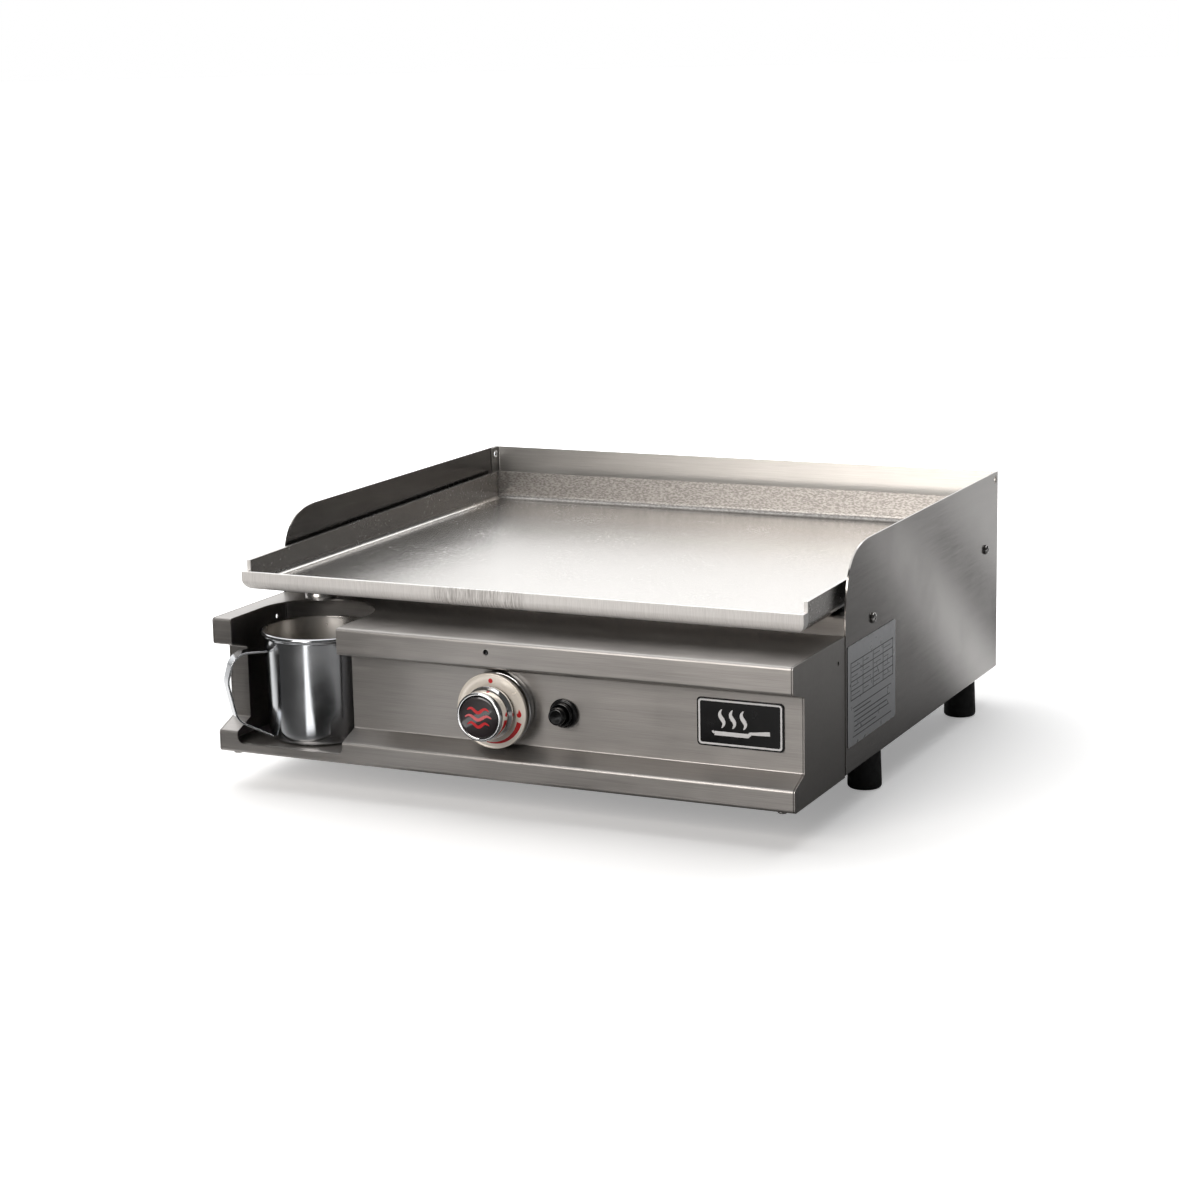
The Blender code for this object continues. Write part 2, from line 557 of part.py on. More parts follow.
# ------------------------------------------------------------------ knob
def make_knob():
    """The chrome knob: base ring, dial, barrel and cap on the spindle, over a washer and a spring."""
    on_axis = (KNOB_X, RECESS_Y - GAP, KNOB_Z)
    ring = [(17, 0), (26.2, 0), (27.0, 1.2), (27.0, 4.4), (25.6, 6.0), (17, 6.0)]
    place("knob_base_ring", turned(ring, "-y", 36), CHROME, on_axis, smooth=True)
    dial = [(18.2, 11.2), (24.6, 11.2), (25.6, 11.6), (26.9, 11.6), (27.5, 12.2), (27.5, 14.0),
            (26.9, 14.7), (18.2, 14.7)]
    place("knob_dial", turned(dial, "-y", 36), CHROME, on_axis, smooth=True)
    depth = RECESS_Y - GAP - KNOB_FRONT
    barrel = [(0, 26.6), (3.3, 26.6), (3.3, 8.4), (10, 8.4), (10, 10.2), (17.9, 11.0), (17.9, 17.0),
              (19.2, 17.2), (19.2, 19.6), (18.0, 21.2), (16.9, 22.4), (16.9, 23.6), (17.9, 24.6), (17.9, depth - 2.8),
              (17.0, depth - 1.6), (15.2, depth - 1.2), (15.2, depth - 3.2), (0, depth - 3.2)]
    place("knob_barrel", turned(barrel, "-y", 32), CHROME, on_axis, smooth=True)
    cap = [(0, depth - 2.9), (14.8, depth - 2.9), (14.8, depth - 1.2)]
    cap += [(14.8 * math.cos(a), depth - 1.2 + 1.2 * math.sin(a)) for a in (0.35, 0.75, 1.15)]
    place("knob_cap", turned(cap + [(0, depth)], "-y", 32), CHROME, on_axis, smooth=True)
    washer = turned([(3.7, 7.0), (14, 7.0), (14, 8.1), (3.7, 8.1)], "-y", 24)
    place("knob_thrust_washer", washer, SPRING_STEEL, on_axis)
    coil("knob_spring", 9.5, 0.6, 3, 6.2, (KNOB_X, RECESS_Y - GAP - 6.6, KNOB_Z), SPRING_STEEL)


# ------------------------------------------------------------------ trims, feet and fasteners
def rounded_plate(low, high, radius):
    """The outline of a rectangle with round corners."""
    (a0, b0), (a1, b1) = low, high
    return (arc(a1 - radius, b0 + radius, radius, -90, 0, 4) + arc(a1 - radius, b1 - radius, radius, 0, 90, 4)
            + arc(a0 + radius, b1 - radius, radius, 90, 180, 4)
            + arc(a0 + radius, b0 + radius, radius, 180, 270, 4))


def make_trims():
    """A blank badge on the control panel and a blank label on the right side panel."""
    badge = rounded_plate((151.2, -65.4), (215.4, -31.0), 2)
    place("badge_plate", prism(badge, "y", RECESS_Y - GAP - 1.0, RECESS_Y - GAP), ENAMEL)
    label = rounded_plate((103.5, -82.0), (205.0, -8.6), 2)
    place("rating_label", prism(label, "x", PANEL_HALF + GAP, PANEL_HALF + GAP + 0.4), FOIL)


def make_foot(name, x, y):
    """A rubber foot and the screw that holds it, up through the side panel and the pan."""
    top = PANEL_BOTTOM - GAP - FLOOR_Z
    rubber = [(2.6, top), (2.6, 9.0), (6.0, 9.0), (6.0, 0.6), (7.0, 0)]
    rubber += [(FOOT_R - 3.0, 0), (FOOT_R - 1.2, 0.7), (FOOT_R - 0.3, 2.4), (FOOT_R, 5)]
    rubber += [(FOOT_R - 0.5, top - 1), (FOOT_R - 1.4, top)]
    place("foot_" + name, turned(rubber, "z", 18), RUBBER, (x, y, FLOOR_Z), smooth=True)
    screw = [(0, 5.4), (3.6, 5.6), (4.6, 7.0), (4.6, 8.6), (2.0, 8.6), (2.0, 34.5), (0, 35.5)]
    place("foot_screw_" + name, turned(screw, "z", 10), SPRING_STEEL, (x, y, FLOOR_Z), smooth=True)


def screw_profile(radius, head, shank):
    """A domed screw: the head stands out along the turning axis, the shank runs back."""
    dome = [(radius, 0), (radius, head * 0.35), (radius * 0.75, head * 0.82), (0, head)]
    return [(0, -shank), (1.6, -shank), (2.0, -shank + 0.6), (2.0, 0)] + dome


def make_fasteners():
    """The feet, the screws through the side panels, and the two under the console."""
    for side_name, side in SIDES.items():
        for row, y in FOOT_ROWS.items():
            make_foot(row + "_" + side_name, side * FOOT_X, y)
        outwards = "x" if side > 0 else "-x"
        for row, (y, z) in SIDE_SCREWS.items():
            screw = turned(screw_profile(3.9, 2.2, 6.5), outwards, 12)
            where = (side * (PANEL_HALF + GAP), y, z)
            place("side_screw_" + row + "_" + side_name, screw, POLISHED, where, smooth=True)
        screw = turned(screw_profile(3.6, 2.0, 4.4), "z", 12)
        bmesh.ops.rotate(screw, verts=screw.verts[:], matrix=Matrix.Rotation(math.pi, 3, "X"))
        where = (side * 218.3, 9.3, CONSOLE_BOTTOM - GAP)
        place("console_screw_" + side_name, screw, POLISHED, where, smooth=True)


# ------------------------------------------------------------------ grease mug
def make_mug():
    """The grease mug: a turned cup with a rolled rim and a bent strip for a handle."""
    height = MUG_RIM - MUG_BASE
    outside = [(0, 1.1), (29, 1.1), (31, 0), (34.5, 0), (37.6, 1.8), (39.3, 5.6), (41.0, height - 12),
               (41.3, height - 4.6), (42.3, height - 3.1), (43.6, height - 2.2)]
    roll = [(MUG_RIM_R, height - 1.2), (43.6, height - 0.3), (42.7, height)]
    inside = [(41.6, height - 1.2), (40.5, height - 4.2), (40.1, height - 12), (38.4, 6.0), (36.9, 2.8),
              (34.2, 1.0), (31.2, 1.0), (29.3, 2.1), (0, 2.1)]
    cup = turned(outside + roll + inside, "z", 40)
    place("mug_body", cup, POLISHED, (MUG_X, MUG_Y, MUG_BASE), smooth=True)
    corners = [(41.7, -26.3), (66.5, -25.6), (72.6, -47), (66.5, -76.5), (39.8, -91.4)]
    path = bent_path([(r, z - MUG_BASE) for r, z in corners], 13, 5)
    upper = [tuple(point + normal * 0.75) for point, normal in path]
    lower = [tuple(point - normal * 0.75) for point, normal in path]
    strip = prism(upper + lower[::-1], "y", -6.0, 6.0)
    turn = Matrix.Rotation(math.radians(HANDLE_TURN), 3, "Z")
    bmesh.ops.rotate(strip, verts=strip.verts[:], matrix=turn)
    place("mug_handle", strip, POLISHED, (MUG_X, MUG_Y, MUG_BASE), smooth=True)


make_console_shell()
for side_name, side_sign in SIDES.items():
    make_console_end("console_end_" + side_name, side_sign)
    make_side_panel("side_panel_" + side_name, side_sign)
    make_plate_rail("plate_rail_" + side_name, side_sign)
make_mug_bay()
make_back_panel()
make_front_bulkhead()
make_bottom_pan()
make_plate()
make_burner()
make_valve()
make_gas_line()
make_flame_guard()
make_igniter()
make_knob()
make_trims()
make_fasteners()
make_mug()
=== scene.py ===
# %% [markdown]
# # A countertop gas griddle, dressed for a studio
#
# The CAD model gives every piece its place and size. This script gives the pieces their looks:
# brushed sheet steel with eased edges, a scratched cooking plate, a polished mug, a chrome knob
# and the small fittings. It is written as a lesson. Each step first says what the real thing is
# and how it could be made in Blender, and then makes it.

import json
import math

import bmesh
import bpy
from mathutils import Matrix, Vector


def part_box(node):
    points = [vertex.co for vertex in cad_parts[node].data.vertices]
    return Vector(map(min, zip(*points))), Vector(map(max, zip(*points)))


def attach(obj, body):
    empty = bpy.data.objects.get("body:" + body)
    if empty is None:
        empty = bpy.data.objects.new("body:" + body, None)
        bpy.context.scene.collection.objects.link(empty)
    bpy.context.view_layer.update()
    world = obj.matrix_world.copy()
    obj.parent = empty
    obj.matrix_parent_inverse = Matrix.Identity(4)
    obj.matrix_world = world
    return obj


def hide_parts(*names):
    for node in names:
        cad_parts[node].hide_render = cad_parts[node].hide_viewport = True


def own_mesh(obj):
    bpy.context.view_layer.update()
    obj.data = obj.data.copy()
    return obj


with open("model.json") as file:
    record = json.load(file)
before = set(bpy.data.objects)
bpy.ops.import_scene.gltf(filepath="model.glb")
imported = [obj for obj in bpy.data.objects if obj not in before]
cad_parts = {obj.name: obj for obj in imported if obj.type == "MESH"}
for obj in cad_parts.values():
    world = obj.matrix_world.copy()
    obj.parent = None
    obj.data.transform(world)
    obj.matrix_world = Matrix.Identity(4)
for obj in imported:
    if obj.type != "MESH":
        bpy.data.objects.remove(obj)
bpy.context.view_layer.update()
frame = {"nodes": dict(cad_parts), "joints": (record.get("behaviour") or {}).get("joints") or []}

# %% [markdown]
# ## Where things are
#
# Sheet-metal work is drawn in millimetres from one corner. Here that corner is the console's
# front top edge: x goes to the right from the middle, y to the back from the face of the upper
# strip, and z up from the console's top. Two measured boxes from the frame turn such a point
# into metres in the world, so nothing has to be fitted by eye.

# %% The console's own millimetres
MM = 0.001
ORIGIN = Vector((0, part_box("console_end_left")[0].y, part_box("console_end_left")[1].z))
TO_WORLD = Matrix.Translation(ORIGIN) @ Matrix.Scale(MM, 4)


def span(node):
    """A node's low and high corners in the console's millimetres."""
    return [(corner - ORIGIN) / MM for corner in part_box(node)]


def middle(node):
    """The middle of a node's box in the console's millimetres."""
    low, high = span(node)
    return (low + high) / 2


print("console corner at", [round(value, 4) for value in ORIGIN])

# %% [markdown]
# ## Drawing sheet metal
#
# A folded sheet is its side view pushed along one axis, and a turned part is its half section
# spun round another. Both are drawn from a few points. Subdividing a box would also work, but
# then the bend radii would only be guessed. The cuts are real Boolean cuts, which are applied
# at once, so that a bevel can follow and ease every edge as a press and a deburring wheel do.

# %% Prisms, arcs and turned shapes
def prism(outline, axis, start, end):
    """An outline of (y, z), (x, z) or (x, y) points, pushed along x, y or z."""
    order = {"x": lambda a, b, h: (h, a, b), "y": lambda a, b, h: (a, h, b),
             "z": lambda a, b, h: (a, b, h)}[axis]
    bm = bmesh.new()
    face = bm.faces.new([bm.verts.new(order(a, b, start)) for a, b in outline])
    grown = bmesh.ops.extrude_face_region(bm, geom=[face])["geom"]
    moved = [part for part in grown if isinstance(part, bmesh.types.BMVert)]
    bmesh.ops.translate(bm, vec=order(0, 0, end - start), verts=moved)
    return bm


def block(low, high):
    """A box between two corners."""
    (x0, y0, z0), (x1, y1, z1) = low, high
    return prism([(x0, y0), (x1, y0), (x1, y1), (x0, y1)], "z", z0, z1)


def arc(cx, cy, radius, start, end, steps):
    """Points on an arc, with the angles in degrees and both ends included."""
    turns = [math.radians(start + (end - start) * step / steps) for step in range(steps + 1)]
    return [(cx + radius * math.cos(turn), cy + radius * math.sin(turn)) for turn in turns]


def rounded(low, high, radius, steps=6):
    """A rectangle with round corners."""
    (a0, b0), (a1, b1) = low, high
    corners = [(a1 - radius, b0 + radius, -90), (a1 - radius, b1 - radius, 0),
               (a0 + radius, b1 - radius, 90), (a0 + radius, b0 + radius, 180)]
    return [point for a, b, turn in corners for point in arc(a, b, radius, turn, turn + 90, steps)]


AIMS = {"z": Matrix.Identity(4), "y": Matrix.Rotation(math.radians(-90), 4, "X"),
        "-y": Matrix.Rotation(math.radians(90), 4, "X"), "x": Matrix.Rotation(math.radians(90), 4, "Y"),
        "-x": Matrix.Rotation(math.radians(-90), 4, "Y"), "-z": Matrix.Rotation(math.pi, 4, "X")}


def turned(profile, where, axis="z", segments=64):
    """A half section of (radius, height) points, spun round an axis through a point."""
    bm = bmesh.new()
    ring = [bm.verts.new((radius, 0, height)) for radius, height in profile]
    edges = [bm.edges.new(pair) for pair in zip(ring, ring[1:])]
    if profile[0][0] > 0 or profile[-1][0] > 0:
        edges.append(bm.edges.new((ring[-1], ring[0])))
    bmesh.ops.spin(bm, geom=ring + edges, axis=(0, 0, 1), cent=(0, 0, 0),
                   angle=2 * math.pi, steps=segments, use_merge=True)
    bmesh.ops.remove_doubles(bm, verts=bm.verts[:], dist=0.0001)
    bmesh.ops.dissolve_degenerate(bm, edges=bm.edges[:], dist=0.0001)
    bmesh.ops.transform(bm, matrix=Matrix.Translation(Vector(where)) @ AIMS[axis], verts=bm.verts[:])
    return bm


print("drawing helpers ready")

# %% [markdown]
# A fold is two straight stretches with an arc between them. The corners are given on the middle
# of the sheet, the path is rounded there, and the two skins are half a thickness to each side.

# %% Folded sheet
def rounded_path(corners, radius, steps=8):
    """The corners with arcs for bends, as (point, normal to the left) pairs."""
    path = []
    last = len(corners) - 1
    for index, corner in enumerate(corners):
        here = Vector(corner)
        if index in (0, last):
            other = Vector(corners[1 if index == 0 else last - 1])
            along = ((other - here) if index == 0 else (here - other)).normalized()
            path.append((here, Vector((-along.y, along.x))))
            continue
        back = (Vector(corners[index - 1]) - here).normalized()
        ahead = (Vector(corners[index + 1]) - here).normalized()
        half = back.angle(ahead) / 2
        reach = radius / math.tan(half)
        centre = here + (back + ahead).normalized() * radius / math.sin(half)
        start = here + back * reach - centre
        sweep = start.angle_signed(here + ahead * reach - centre)
        side = 1 if (-back).cross(ahead) > 0 else -1
        for step in range(steps + 1):
            spoke = start.copy()
            spoke.rotate(Matrix.Rotation(-sweep * step / steps, 2))
            path.append((centre + spoke, -spoke.normalized() * side))
    return path


def folded(corners, thickness, radius, steps=8):
    """The closed outline of a folded sheet."""
    path = rounded_path(corners, radius, steps)
    upper = [tuple(point + normal * thickness / 2) for point, normal in path]
    lower = [tuple(point - normal * thickness / 2) for point, normal in path]
    return upper + lower[::-1]


print("folds ready")

# %% [markdown]
# Every finished piece goes through one function. It turns millimetres into metres, gives the
# piece its finish and material slot, lets it ride on its CAD body, and hides the CAD nodes it
# stands for. A narrow bevel eases the edges, and weighted normals keep the flats truly flat:
# without them the soft shading of a bend would leak over a whole panel and bend its reflections.

# %% Make, cut and ease a piece
def make(name, bm, finish, body, stands_for=(), ease=0.2, rounds=2):
    """An object from a mesh drawn in the console's millimetres."""
    bmesh.ops.recalc_face_normals(bm, faces=bm.faces[:])
    bmesh.ops.transform(bm, matrix=TO_WORLD, verts=bm.verts[:])
    mesh = bpy.data.meshes.new(name)
    bm.to_mesh(mesh)
    bm.free()
    mesh.shade_smooth()
    mesh.materials.append(finish)
    thing = bpy.data.objects.new(name, mesh)
    bpy.context.scene.collection.objects.link(thing)
    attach(thing, body)
    if stands_for:
        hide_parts(*stands_for)
    if ease:
        bevel = thing.modifiers.new("eased edges", "BEVEL")
        bevel.width = ease * MM
        bevel.segments = rounds
        bevel.limit_method = "ANGLE"
        bevel.angle_limit = math.radians(32)
        bevel.use_clamp_overlap = True
    flat = thing.modifiers.new("true flats", "WEIGHTED_NORMAL")
    flat.keep_sharp = True
    return thing


def cut(thing, tools, operation="DIFFERENCE"):
    """Cuts tools out of a thing, or joins them on, and applies the result at once."""
    kept = [(m.name, m.show_viewport) for m in thing.modifiers]
    for name, _ in kept:
        thing.modifiers[name].show_viewport = False
    for bm in tools:
        bmesh.ops.recalc_face_normals(bm, faces=bm.faces[:])
        bmesh.ops.transform(bm, matrix=TO_WORLD, verts=bm.verts[:])
        mesh = bpy.data.meshes.new("tool")
        bm.to_mesh(mesh)
        bm.free()
        tool = bpy.data.objects.new("tool", mesh)
        bpy.context.scene.collection.objects.link(tool)
        step = thing.modifiers.new("cut", "BOOLEAN")
        step.operation, step.object, step.solver = operation, tool, "EXACT"
        made = thing.evaluated_get(bpy.context.evaluated_depsgraph_get())
        done = bpy.data.meshes.new_from_object(made)
        thing.modifiers.remove(step)
        thing.data = done
        bpy.data.objects.remove(tool)
    for name, shown in kept:
        thing.modifiers[name].show_viewport = shown
    thing.data.shade_smooth()


print("piece helpers ready")

# %% [markdown]
# ## Finishes
#
# Each finish is a Principled shader with a short chain of nodes that says how the surface was
# made. Colours are written as sRGB hex values, as a paint card gives them, and one function
# turns them to linear light.

# %% Colour and node helpers
def tint(code):
    """An sRGB hex value such as 8a8784 as linear red, green, blue and alpha."""
    parts = [int(code[i:i + 2], 16) / 255 for i in (0, 2, 4)]
    return (*[c / 12.92 if c <= 0.04045 else ((c + 0.055) / 1.055) ** 2.4 for c in parts], 1)


def new_finish(name, slot, **sockets):
    """A material with a Principled shader, whose plain numbers are set on its own sockets."""
    material = bpy.data.materials.new(name)
    material.use_nodes = True
    material["slot"] = slot
    shader = material.node_tree.nodes["Principled BSDF"]
    for socket, value in sockets.items():
        shader.inputs[socket.replace("_", " ")].default_value = value
    return material, shader


def node(material, kind, settings=None, **links):
    """Adds a node. Settings name its properties or inputs, and links feed its inputs."""
    made = material.node_tree.nodes.new(kind)
    for key, value in (settings or {}).items():
        if isinstance(key, str) and hasattr(made, key):
            setattr(made, key, value)
        else:
            made.inputs[key].default_value = value
    for key, source in links.items():
        socket = made.inputs[int(key[1:])] if key[0] == "i" and key[1:].isdigit() else made.inputs[key]
        material.node_tree.links.new(source, socket)
    return made


def grade(ramp, *stops):
    """Gives a colour ramp its stops, as (position, colour) pairs."""
    elements = ramp.color_ramp.elements
    while len(elements) < len(stops):
        elements.new(0.5)
    for element, (position, colour) in zip(elements, stops):
        element.position, element.color = position, colour


def feed(material, shader, **sources):
    """Links outputs to the shader's sockets."""
    for socket, source in sources.items():
        material.node_tree.links.new(source, shader.inputs[socket.replace("_", " ")])


print("tint test:", [round(value, 3) for value in tint("808080")])

# %% [markdown]
# ### Brushed stainless sheet
#
# Grade 304 sheet is finished on a belt, so it carries fine parallel strokes. Across the strokes
# the metal is much rougher than along them, and a highlight is drawn out into a band at right
# angles to the grain. A noise that is stretched along the grain gives the strokes, and the
# shader's anisotropy gives the band. Real strokes are 0.1 mm wide, too fine to show at this
# distance, so they are drawn 0.3 mm wide. The strokes run another way on the side panels, so
# the finish is a function of the grain's direction.

# %% Brushed stainless
AXES = {"x": 0, "y": 1, "z": 2}


def stretched(grain, along, across):
    """A texture scale for marks that are along by across millimetres, in metres."""
    scale = [1 / (across * MM)] * 3
    scale[AXES[grain]] = 1 / (along * MM)
    return scale


def brushed_stainless(name, grain, across, smooth=0.34, light="adaaa7", dark="959290"):
    """Belt-brushed sheet. Grain names the strokes' axis, across the direction over them."""
    material, shader = new_finish(name, "brushed_stainless", Metallic=1.0, Anisotropic=0.6)
    place = node(material, "ShaderNodeTexCoord")
    strokes = node(material, "ShaderNodeMapping", {"Scale": stretched(grain, 34, 0.32)},
                   Vector=place.outputs["Object"])
    strokes = node(material, "ShaderNodeTexNoise", {"Scale": 1, "Detail": 4, "Roughness": 0.65},
                   Vector=strokes.outputs[0])
    bands = node(material, "ShaderNodeMapping", {"Scale": stretched(grain, 260, 3)},
                 Vector=place.outputs["Object"])
    bands = node(material, "ShaderNodeTexNoise", {"Scale": 1, "Detail": 2}, Vector=bands.outputs[0])
    hands = node(material, "ShaderNodeTexNoise", {"Scale": 1 / (55 * MM), "Detail": 5},
                 Vector=place.outputs["Object"])
    mixed = node(material, "ShaderNodeMath", {"operation": "MULTIPLY_ADD", 1: 0.25},
                 i0=bands.outputs[0], i2=strokes.outputs[0])
    tone = node(material, "ShaderNodeValToRGB", {}, Fac=mixed.outputs[0])
    grade(tone, (0.40, tint(dark)), (0.85, tint(light)))
    rough = node(material, "ShaderNodeMapRange", {"From Min": 0.4, "From Max": 0.85, "To Min": smooth,
                                                  "To Max": smooth + 0.08}, Value=mixed.outputs[0])
    worn = node(material, "ShaderNodeMapRange", {"From Min": 0.45, "From Max": 0.75, "To Min": 0.0,
                                                 "To Max": 0.07}, Value=hands.outputs[0])
    total = node(material, "ShaderNodeMath", {"operation": "ADD"}, i0=rough.outputs[0],
                 i1=worn.outputs[0])
    bump = node(material, "ShaderNodeBump", {"Strength": 0.25, "Distance": 0.012 * MM},
                Height=strokes.outputs[0])
    over = node(material, "ShaderNodeCombineXYZ", {"X": across[0], "Y": across[1], "Z": across[2]})
    feed(material, shader, Base_Color=tone.outputs[0], Roughness=total.outputs[0],
         Normal=bump.outputs[0], Tangent=over.outputs[0])
    return material


CONSOLE_STEEL = brushed_stainless("brushed stainless, grain across the console", "x", (0, 1, 1))
SIDE_STEEL = brushed_stainless("brushed stainless, grain front to back", "y", (1, 0, 1), 0.12)
# The back panel is the same brushed steel drawn paler, which paints in the brighter light that it reflects.
BACK_STEEL_PAINTED_PALER = brushed_stainless("brushed stainless of the back, paler for painted light", "x", (0, 1, 1), 0.34,
                               "c8c6c3", "b4b2af")
print("brushed stainless in three sheets")

# %% [markdown]
# ### The cooking plate's steel
#
# The plate is 3 mm sheet with a dull rolled skin. It is rougher than the brushed panels and
# mottled every 2 mm or so, with short scratches from the scraper in three directions. The
# front lip and the ends of the side walls are ground bright, in short upright strokes that go
# deeper in one place, 60 mm wide, and the back wall keeps a pitted skin with flat grains 2.6
# by 1.1 mm. Two masks on y pick these parts out. Grinding marks are 0.1 mm wide and are drawn
# 0.4 mm wide.

# %% Plate steel
def plate_steel():
    """Rolled plate with mottling, scraper scratches and a ground front lip."""
    material, shader = new_finish("satin rolled plate steel", "plate_steel", Metallic=1.0)
    place = node(material, "ShaderNodeTexCoord")
    mottle = node(material, "ShaderNodeTexNoise", {"Scale": 1 / (2.2 * MM), "Detail": 4, "Roughness": 0.55},
                  Vector=place.outputs["Object"])
    cloud = node(material, "ShaderNodeTexNoise", {"Scale": 1 / (70 * MM), "Detail": 3},
                 Vector=place.outputs["Object"])
    height = None
    for turn, along, across in ((0.35, 40, 0.35), (-0.8, 30, 0.3), (1.35, 46, 0.35)):
        aim = node(material, "ShaderNodeMapping", {"Rotation": (0, 0, turn),
                                                   "Scale": stretched("x", along, across)},
                   Vector=place.outputs["Object"])
        mark = node(material, "ShaderNodeTexNoise", {"Scale": 1, "Detail": 2}, Vector=aim.outputs[0])
        line = node(material, "ShaderNodeMapRange", {"From Min": 0.74, "From Max": 0.84},
                    Value=mark.outputs[0])
        height = line if height is None else node(
            material, "ShaderNodeMath", {"operation": "MAXIMUM"}, i0=height.outputs[0], i1=line.outputs[0])
    tone = node(material, "ShaderNodeValToRGB", {}, Fac=mottle.outputs[0])
    grade(tone, (0.30, tint("c0bdb9")), (0.72, tint("cfccc9")))
    scratched = node(material, "ShaderNodeMix", {"data_type": "RGBA", 7: tint("dedcda")},
                     i0=height.outputs[0], i6=tone.outputs[0])
    skin = node(material, "ShaderNodeMapRange", {"From Min": 0.3, "From Max": 0.7, "To Min": 0.18,
                                                 "To Max": 0.24}, Value=mottle.outputs[0])
    drift = node(material, "ShaderNodeMath", {"operation": "MULTIPLY_ADD", 1: 0.07},
                 i0=cloud.outputs[0], i2=skin.outputs[0])

    plate_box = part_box("griddle_plate")
    front, back, middle_height = plate_box[0][1], plate_box[1][1], plate_box[0][2] + 10 * MM
    parts = node(material, "ShaderNodeSeparateXYZ", {}, i0=place.outputs["Object"])
    ground = node(material, "ShaderNodeMapRange", {"From Min": front + 8.3 * MM, "From Max": front + 8.9 * MM,
                                                   "To Min": 1.0, "To Max": 0.0}, Value=parts.outputs["Y"])
    pitted = node(material, "ShaderNodeMapRange", {"From Min": back - 8 * MM, "From Max": back - 5 * MM},
                  Value=parts.outputs["Y"])
    strokes = node(material, "ShaderNodeMapping", {"Scale": (1 / (0.4 * MM), 1 / (6 * MM), 1 / (9 * MM))},
                   Vector=place.outputs["Object"])
    strokes = node(material, "ShaderNodeTexNoise", {"Scale": 1, "Detail": 3}, Vector=strokes.outputs[0])
    spot = node(material, "ShaderNodeVectorMath", {"operation": "DISTANCE",
                                                   1: (-25 * MM, front, middle_height)},
                i0=place.outputs["Object"])
    deep = node(material, "ShaderNodeMapRange", {"From Min": 31 * MM, "From Max": 39 * MM, "To Min": 1.0,
                                                 "To Max": 0.22}, Value=spot.outputs["Value"])
    worked = node(material, "ShaderNodeMapRange", {"From Min": 0.40, "From Max": 0.65},
                  Value=strokes.outputs[0])
    worked = node(material, "ShaderNodeMath", {"operation": "MULTIPLY"}, i0=worked.outputs[0],
                  i1=deep.outputs[0])
    lip = node(material, "ShaderNodeMix", {"data_type": "RGBA", 6: tint("f4f2f0"), 7: tint("b8b5b2")},
               i0=worked.outputs[0])
    grains = node(material, "ShaderNodeMapping", {"Scale": (1 / (2.6 * MM), 1 / (2.6 * MM), 1 / (1.1 * MM))},
                  Vector=place.outputs["Object"])
    grains = node(material, "ShaderNodeTexNoise", {"Scale": 1, "Detail": 3, "Roughness": 0.6},
                  Vector=grains.outputs[0])
    skin_tone = node(material, "ShaderNodeValToRGB", {}, Fac=grains.outputs[0])
    grade(skin_tone, (0.40, tint("8a8784")), (0.62, tint("b2afac")))
    colour = node(material, "ShaderNodeMix", {"data_type": "RGBA"}, i0=pitted.outputs[0],
                  i6=scratched.outputs[2], i7=skin_tone.outputs[0])
    colour = node(material, "ShaderNodeMix", {"data_type": "RGBA"}, i0=ground.outputs[0],
                  i6=colour.outputs[2], i7=lip.outputs[2])
    scatter = node(material, "ShaderNodeMapRange", {"To Min": 1.0, "To Max": 0.3}, Value=ground.outputs[0])
    gloss = node(material, "ShaderNodeMapRange", {"To Min": 0.46, "To Max": 0.34}, Value=worked.outputs[0])
    dull = node(material, "ShaderNodeMath", {"operation": "MULTIPLY_ADD", 1: 0.14}, i0=pitted.outputs[0],
                i2=drift.outputs[0])
    gloss = node(material, "ShaderNodeMix", {}, i0=ground.outputs[0], i2=dull.outputs[0],
                 i3=gloss.outputs[0])
    relief = node(material, "ShaderNodeMix", {}, i0=ground.outputs[0], i2=mottle.outputs[0],
                  i3=strokes.outputs[0])
    push = node(material, "ShaderNodeMapRange", {"To Min": 0.04, "To Max": 0.6}, Value=pitted.outputs[0])
    bump = node(material, "ShaderNodeBump", {"Distance": 0.16 * MM}, Height=relief.outputs[0],
                Strength=push.outputs[0])
    feed(material, shader, Base_Color=colour.outputs[2], Roughness=gloss.outputs[0],
         Metallic=scatter.outputs[0], Normal=bump.outputs[0])
    return material


PLATE_STEEL = plate_steel()
print("plate steel ready")

# %% [markdown]
# ### Polished stainless and chrome
#
# The mug is spun and then buffed while it turns, which leaves faint rings round it, so its
# highlights are drawn out upright, as anisotropy does. Inside it is only spun, and duller. The
# knob is bright nickel-chrome: a mirror with a few smears. Its dial is chrome too, but it is drawn
# as a pale cream that is mostly not metallic, a painted warm reflection. All are the same kind of
# shader, and only the rings, the roughness and the colour differ.

# %% Polished metals
def polished(name, slot, colour, low, high, ring, wipe, turned_on_z=False):
    """Mirror metal. Ring is the spacing of its polishing lines and wipe the size of its smears."""
    material, shader = new_finish(name, slot, Metallic=1.0, Base_Color=tint(colour))
    if turned_on_z:
        shader.inputs["Anisotropic"].default_value = 0.5
        upright = node(material, "ShaderNodeCombineXYZ", {"Z": 1.0})
        feed(material, shader, Tangent=upright.outputs[0])
    place = node(material, "ShaderNodeTexCoord")
    lines = node(material, "ShaderNodeMapping", {"Scale": (5, 5, 1 / (ring * MM))},
                 Vector=place.outputs["Object"])
    lines = node(material, "ShaderNodeTexNoise", {"Scale": 1, "Detail": 3}, Vector=lines.outputs[0])
    smears = node(material, "ShaderNodeTexNoise", {"Scale": 1 / (wipe * MM), "Detail": 5},
                  Vector=place.outputs["Object"])
    rough = node(material, "ShaderNodeMapRange", {"From Min": 0.35, "From Max": 0.7, "To Min": low,
                                                  "To Max": high}, Value=smears.outputs[0])
    bump = node(material, "ShaderNodeBump", {"Strength": 0.12, "Distance": 0.01 * MM},
                Height=lines.outputs[0])
    feed(material, shader, Roughness=rough.outputs[0], Normal=bump.outputs[0])
    return material


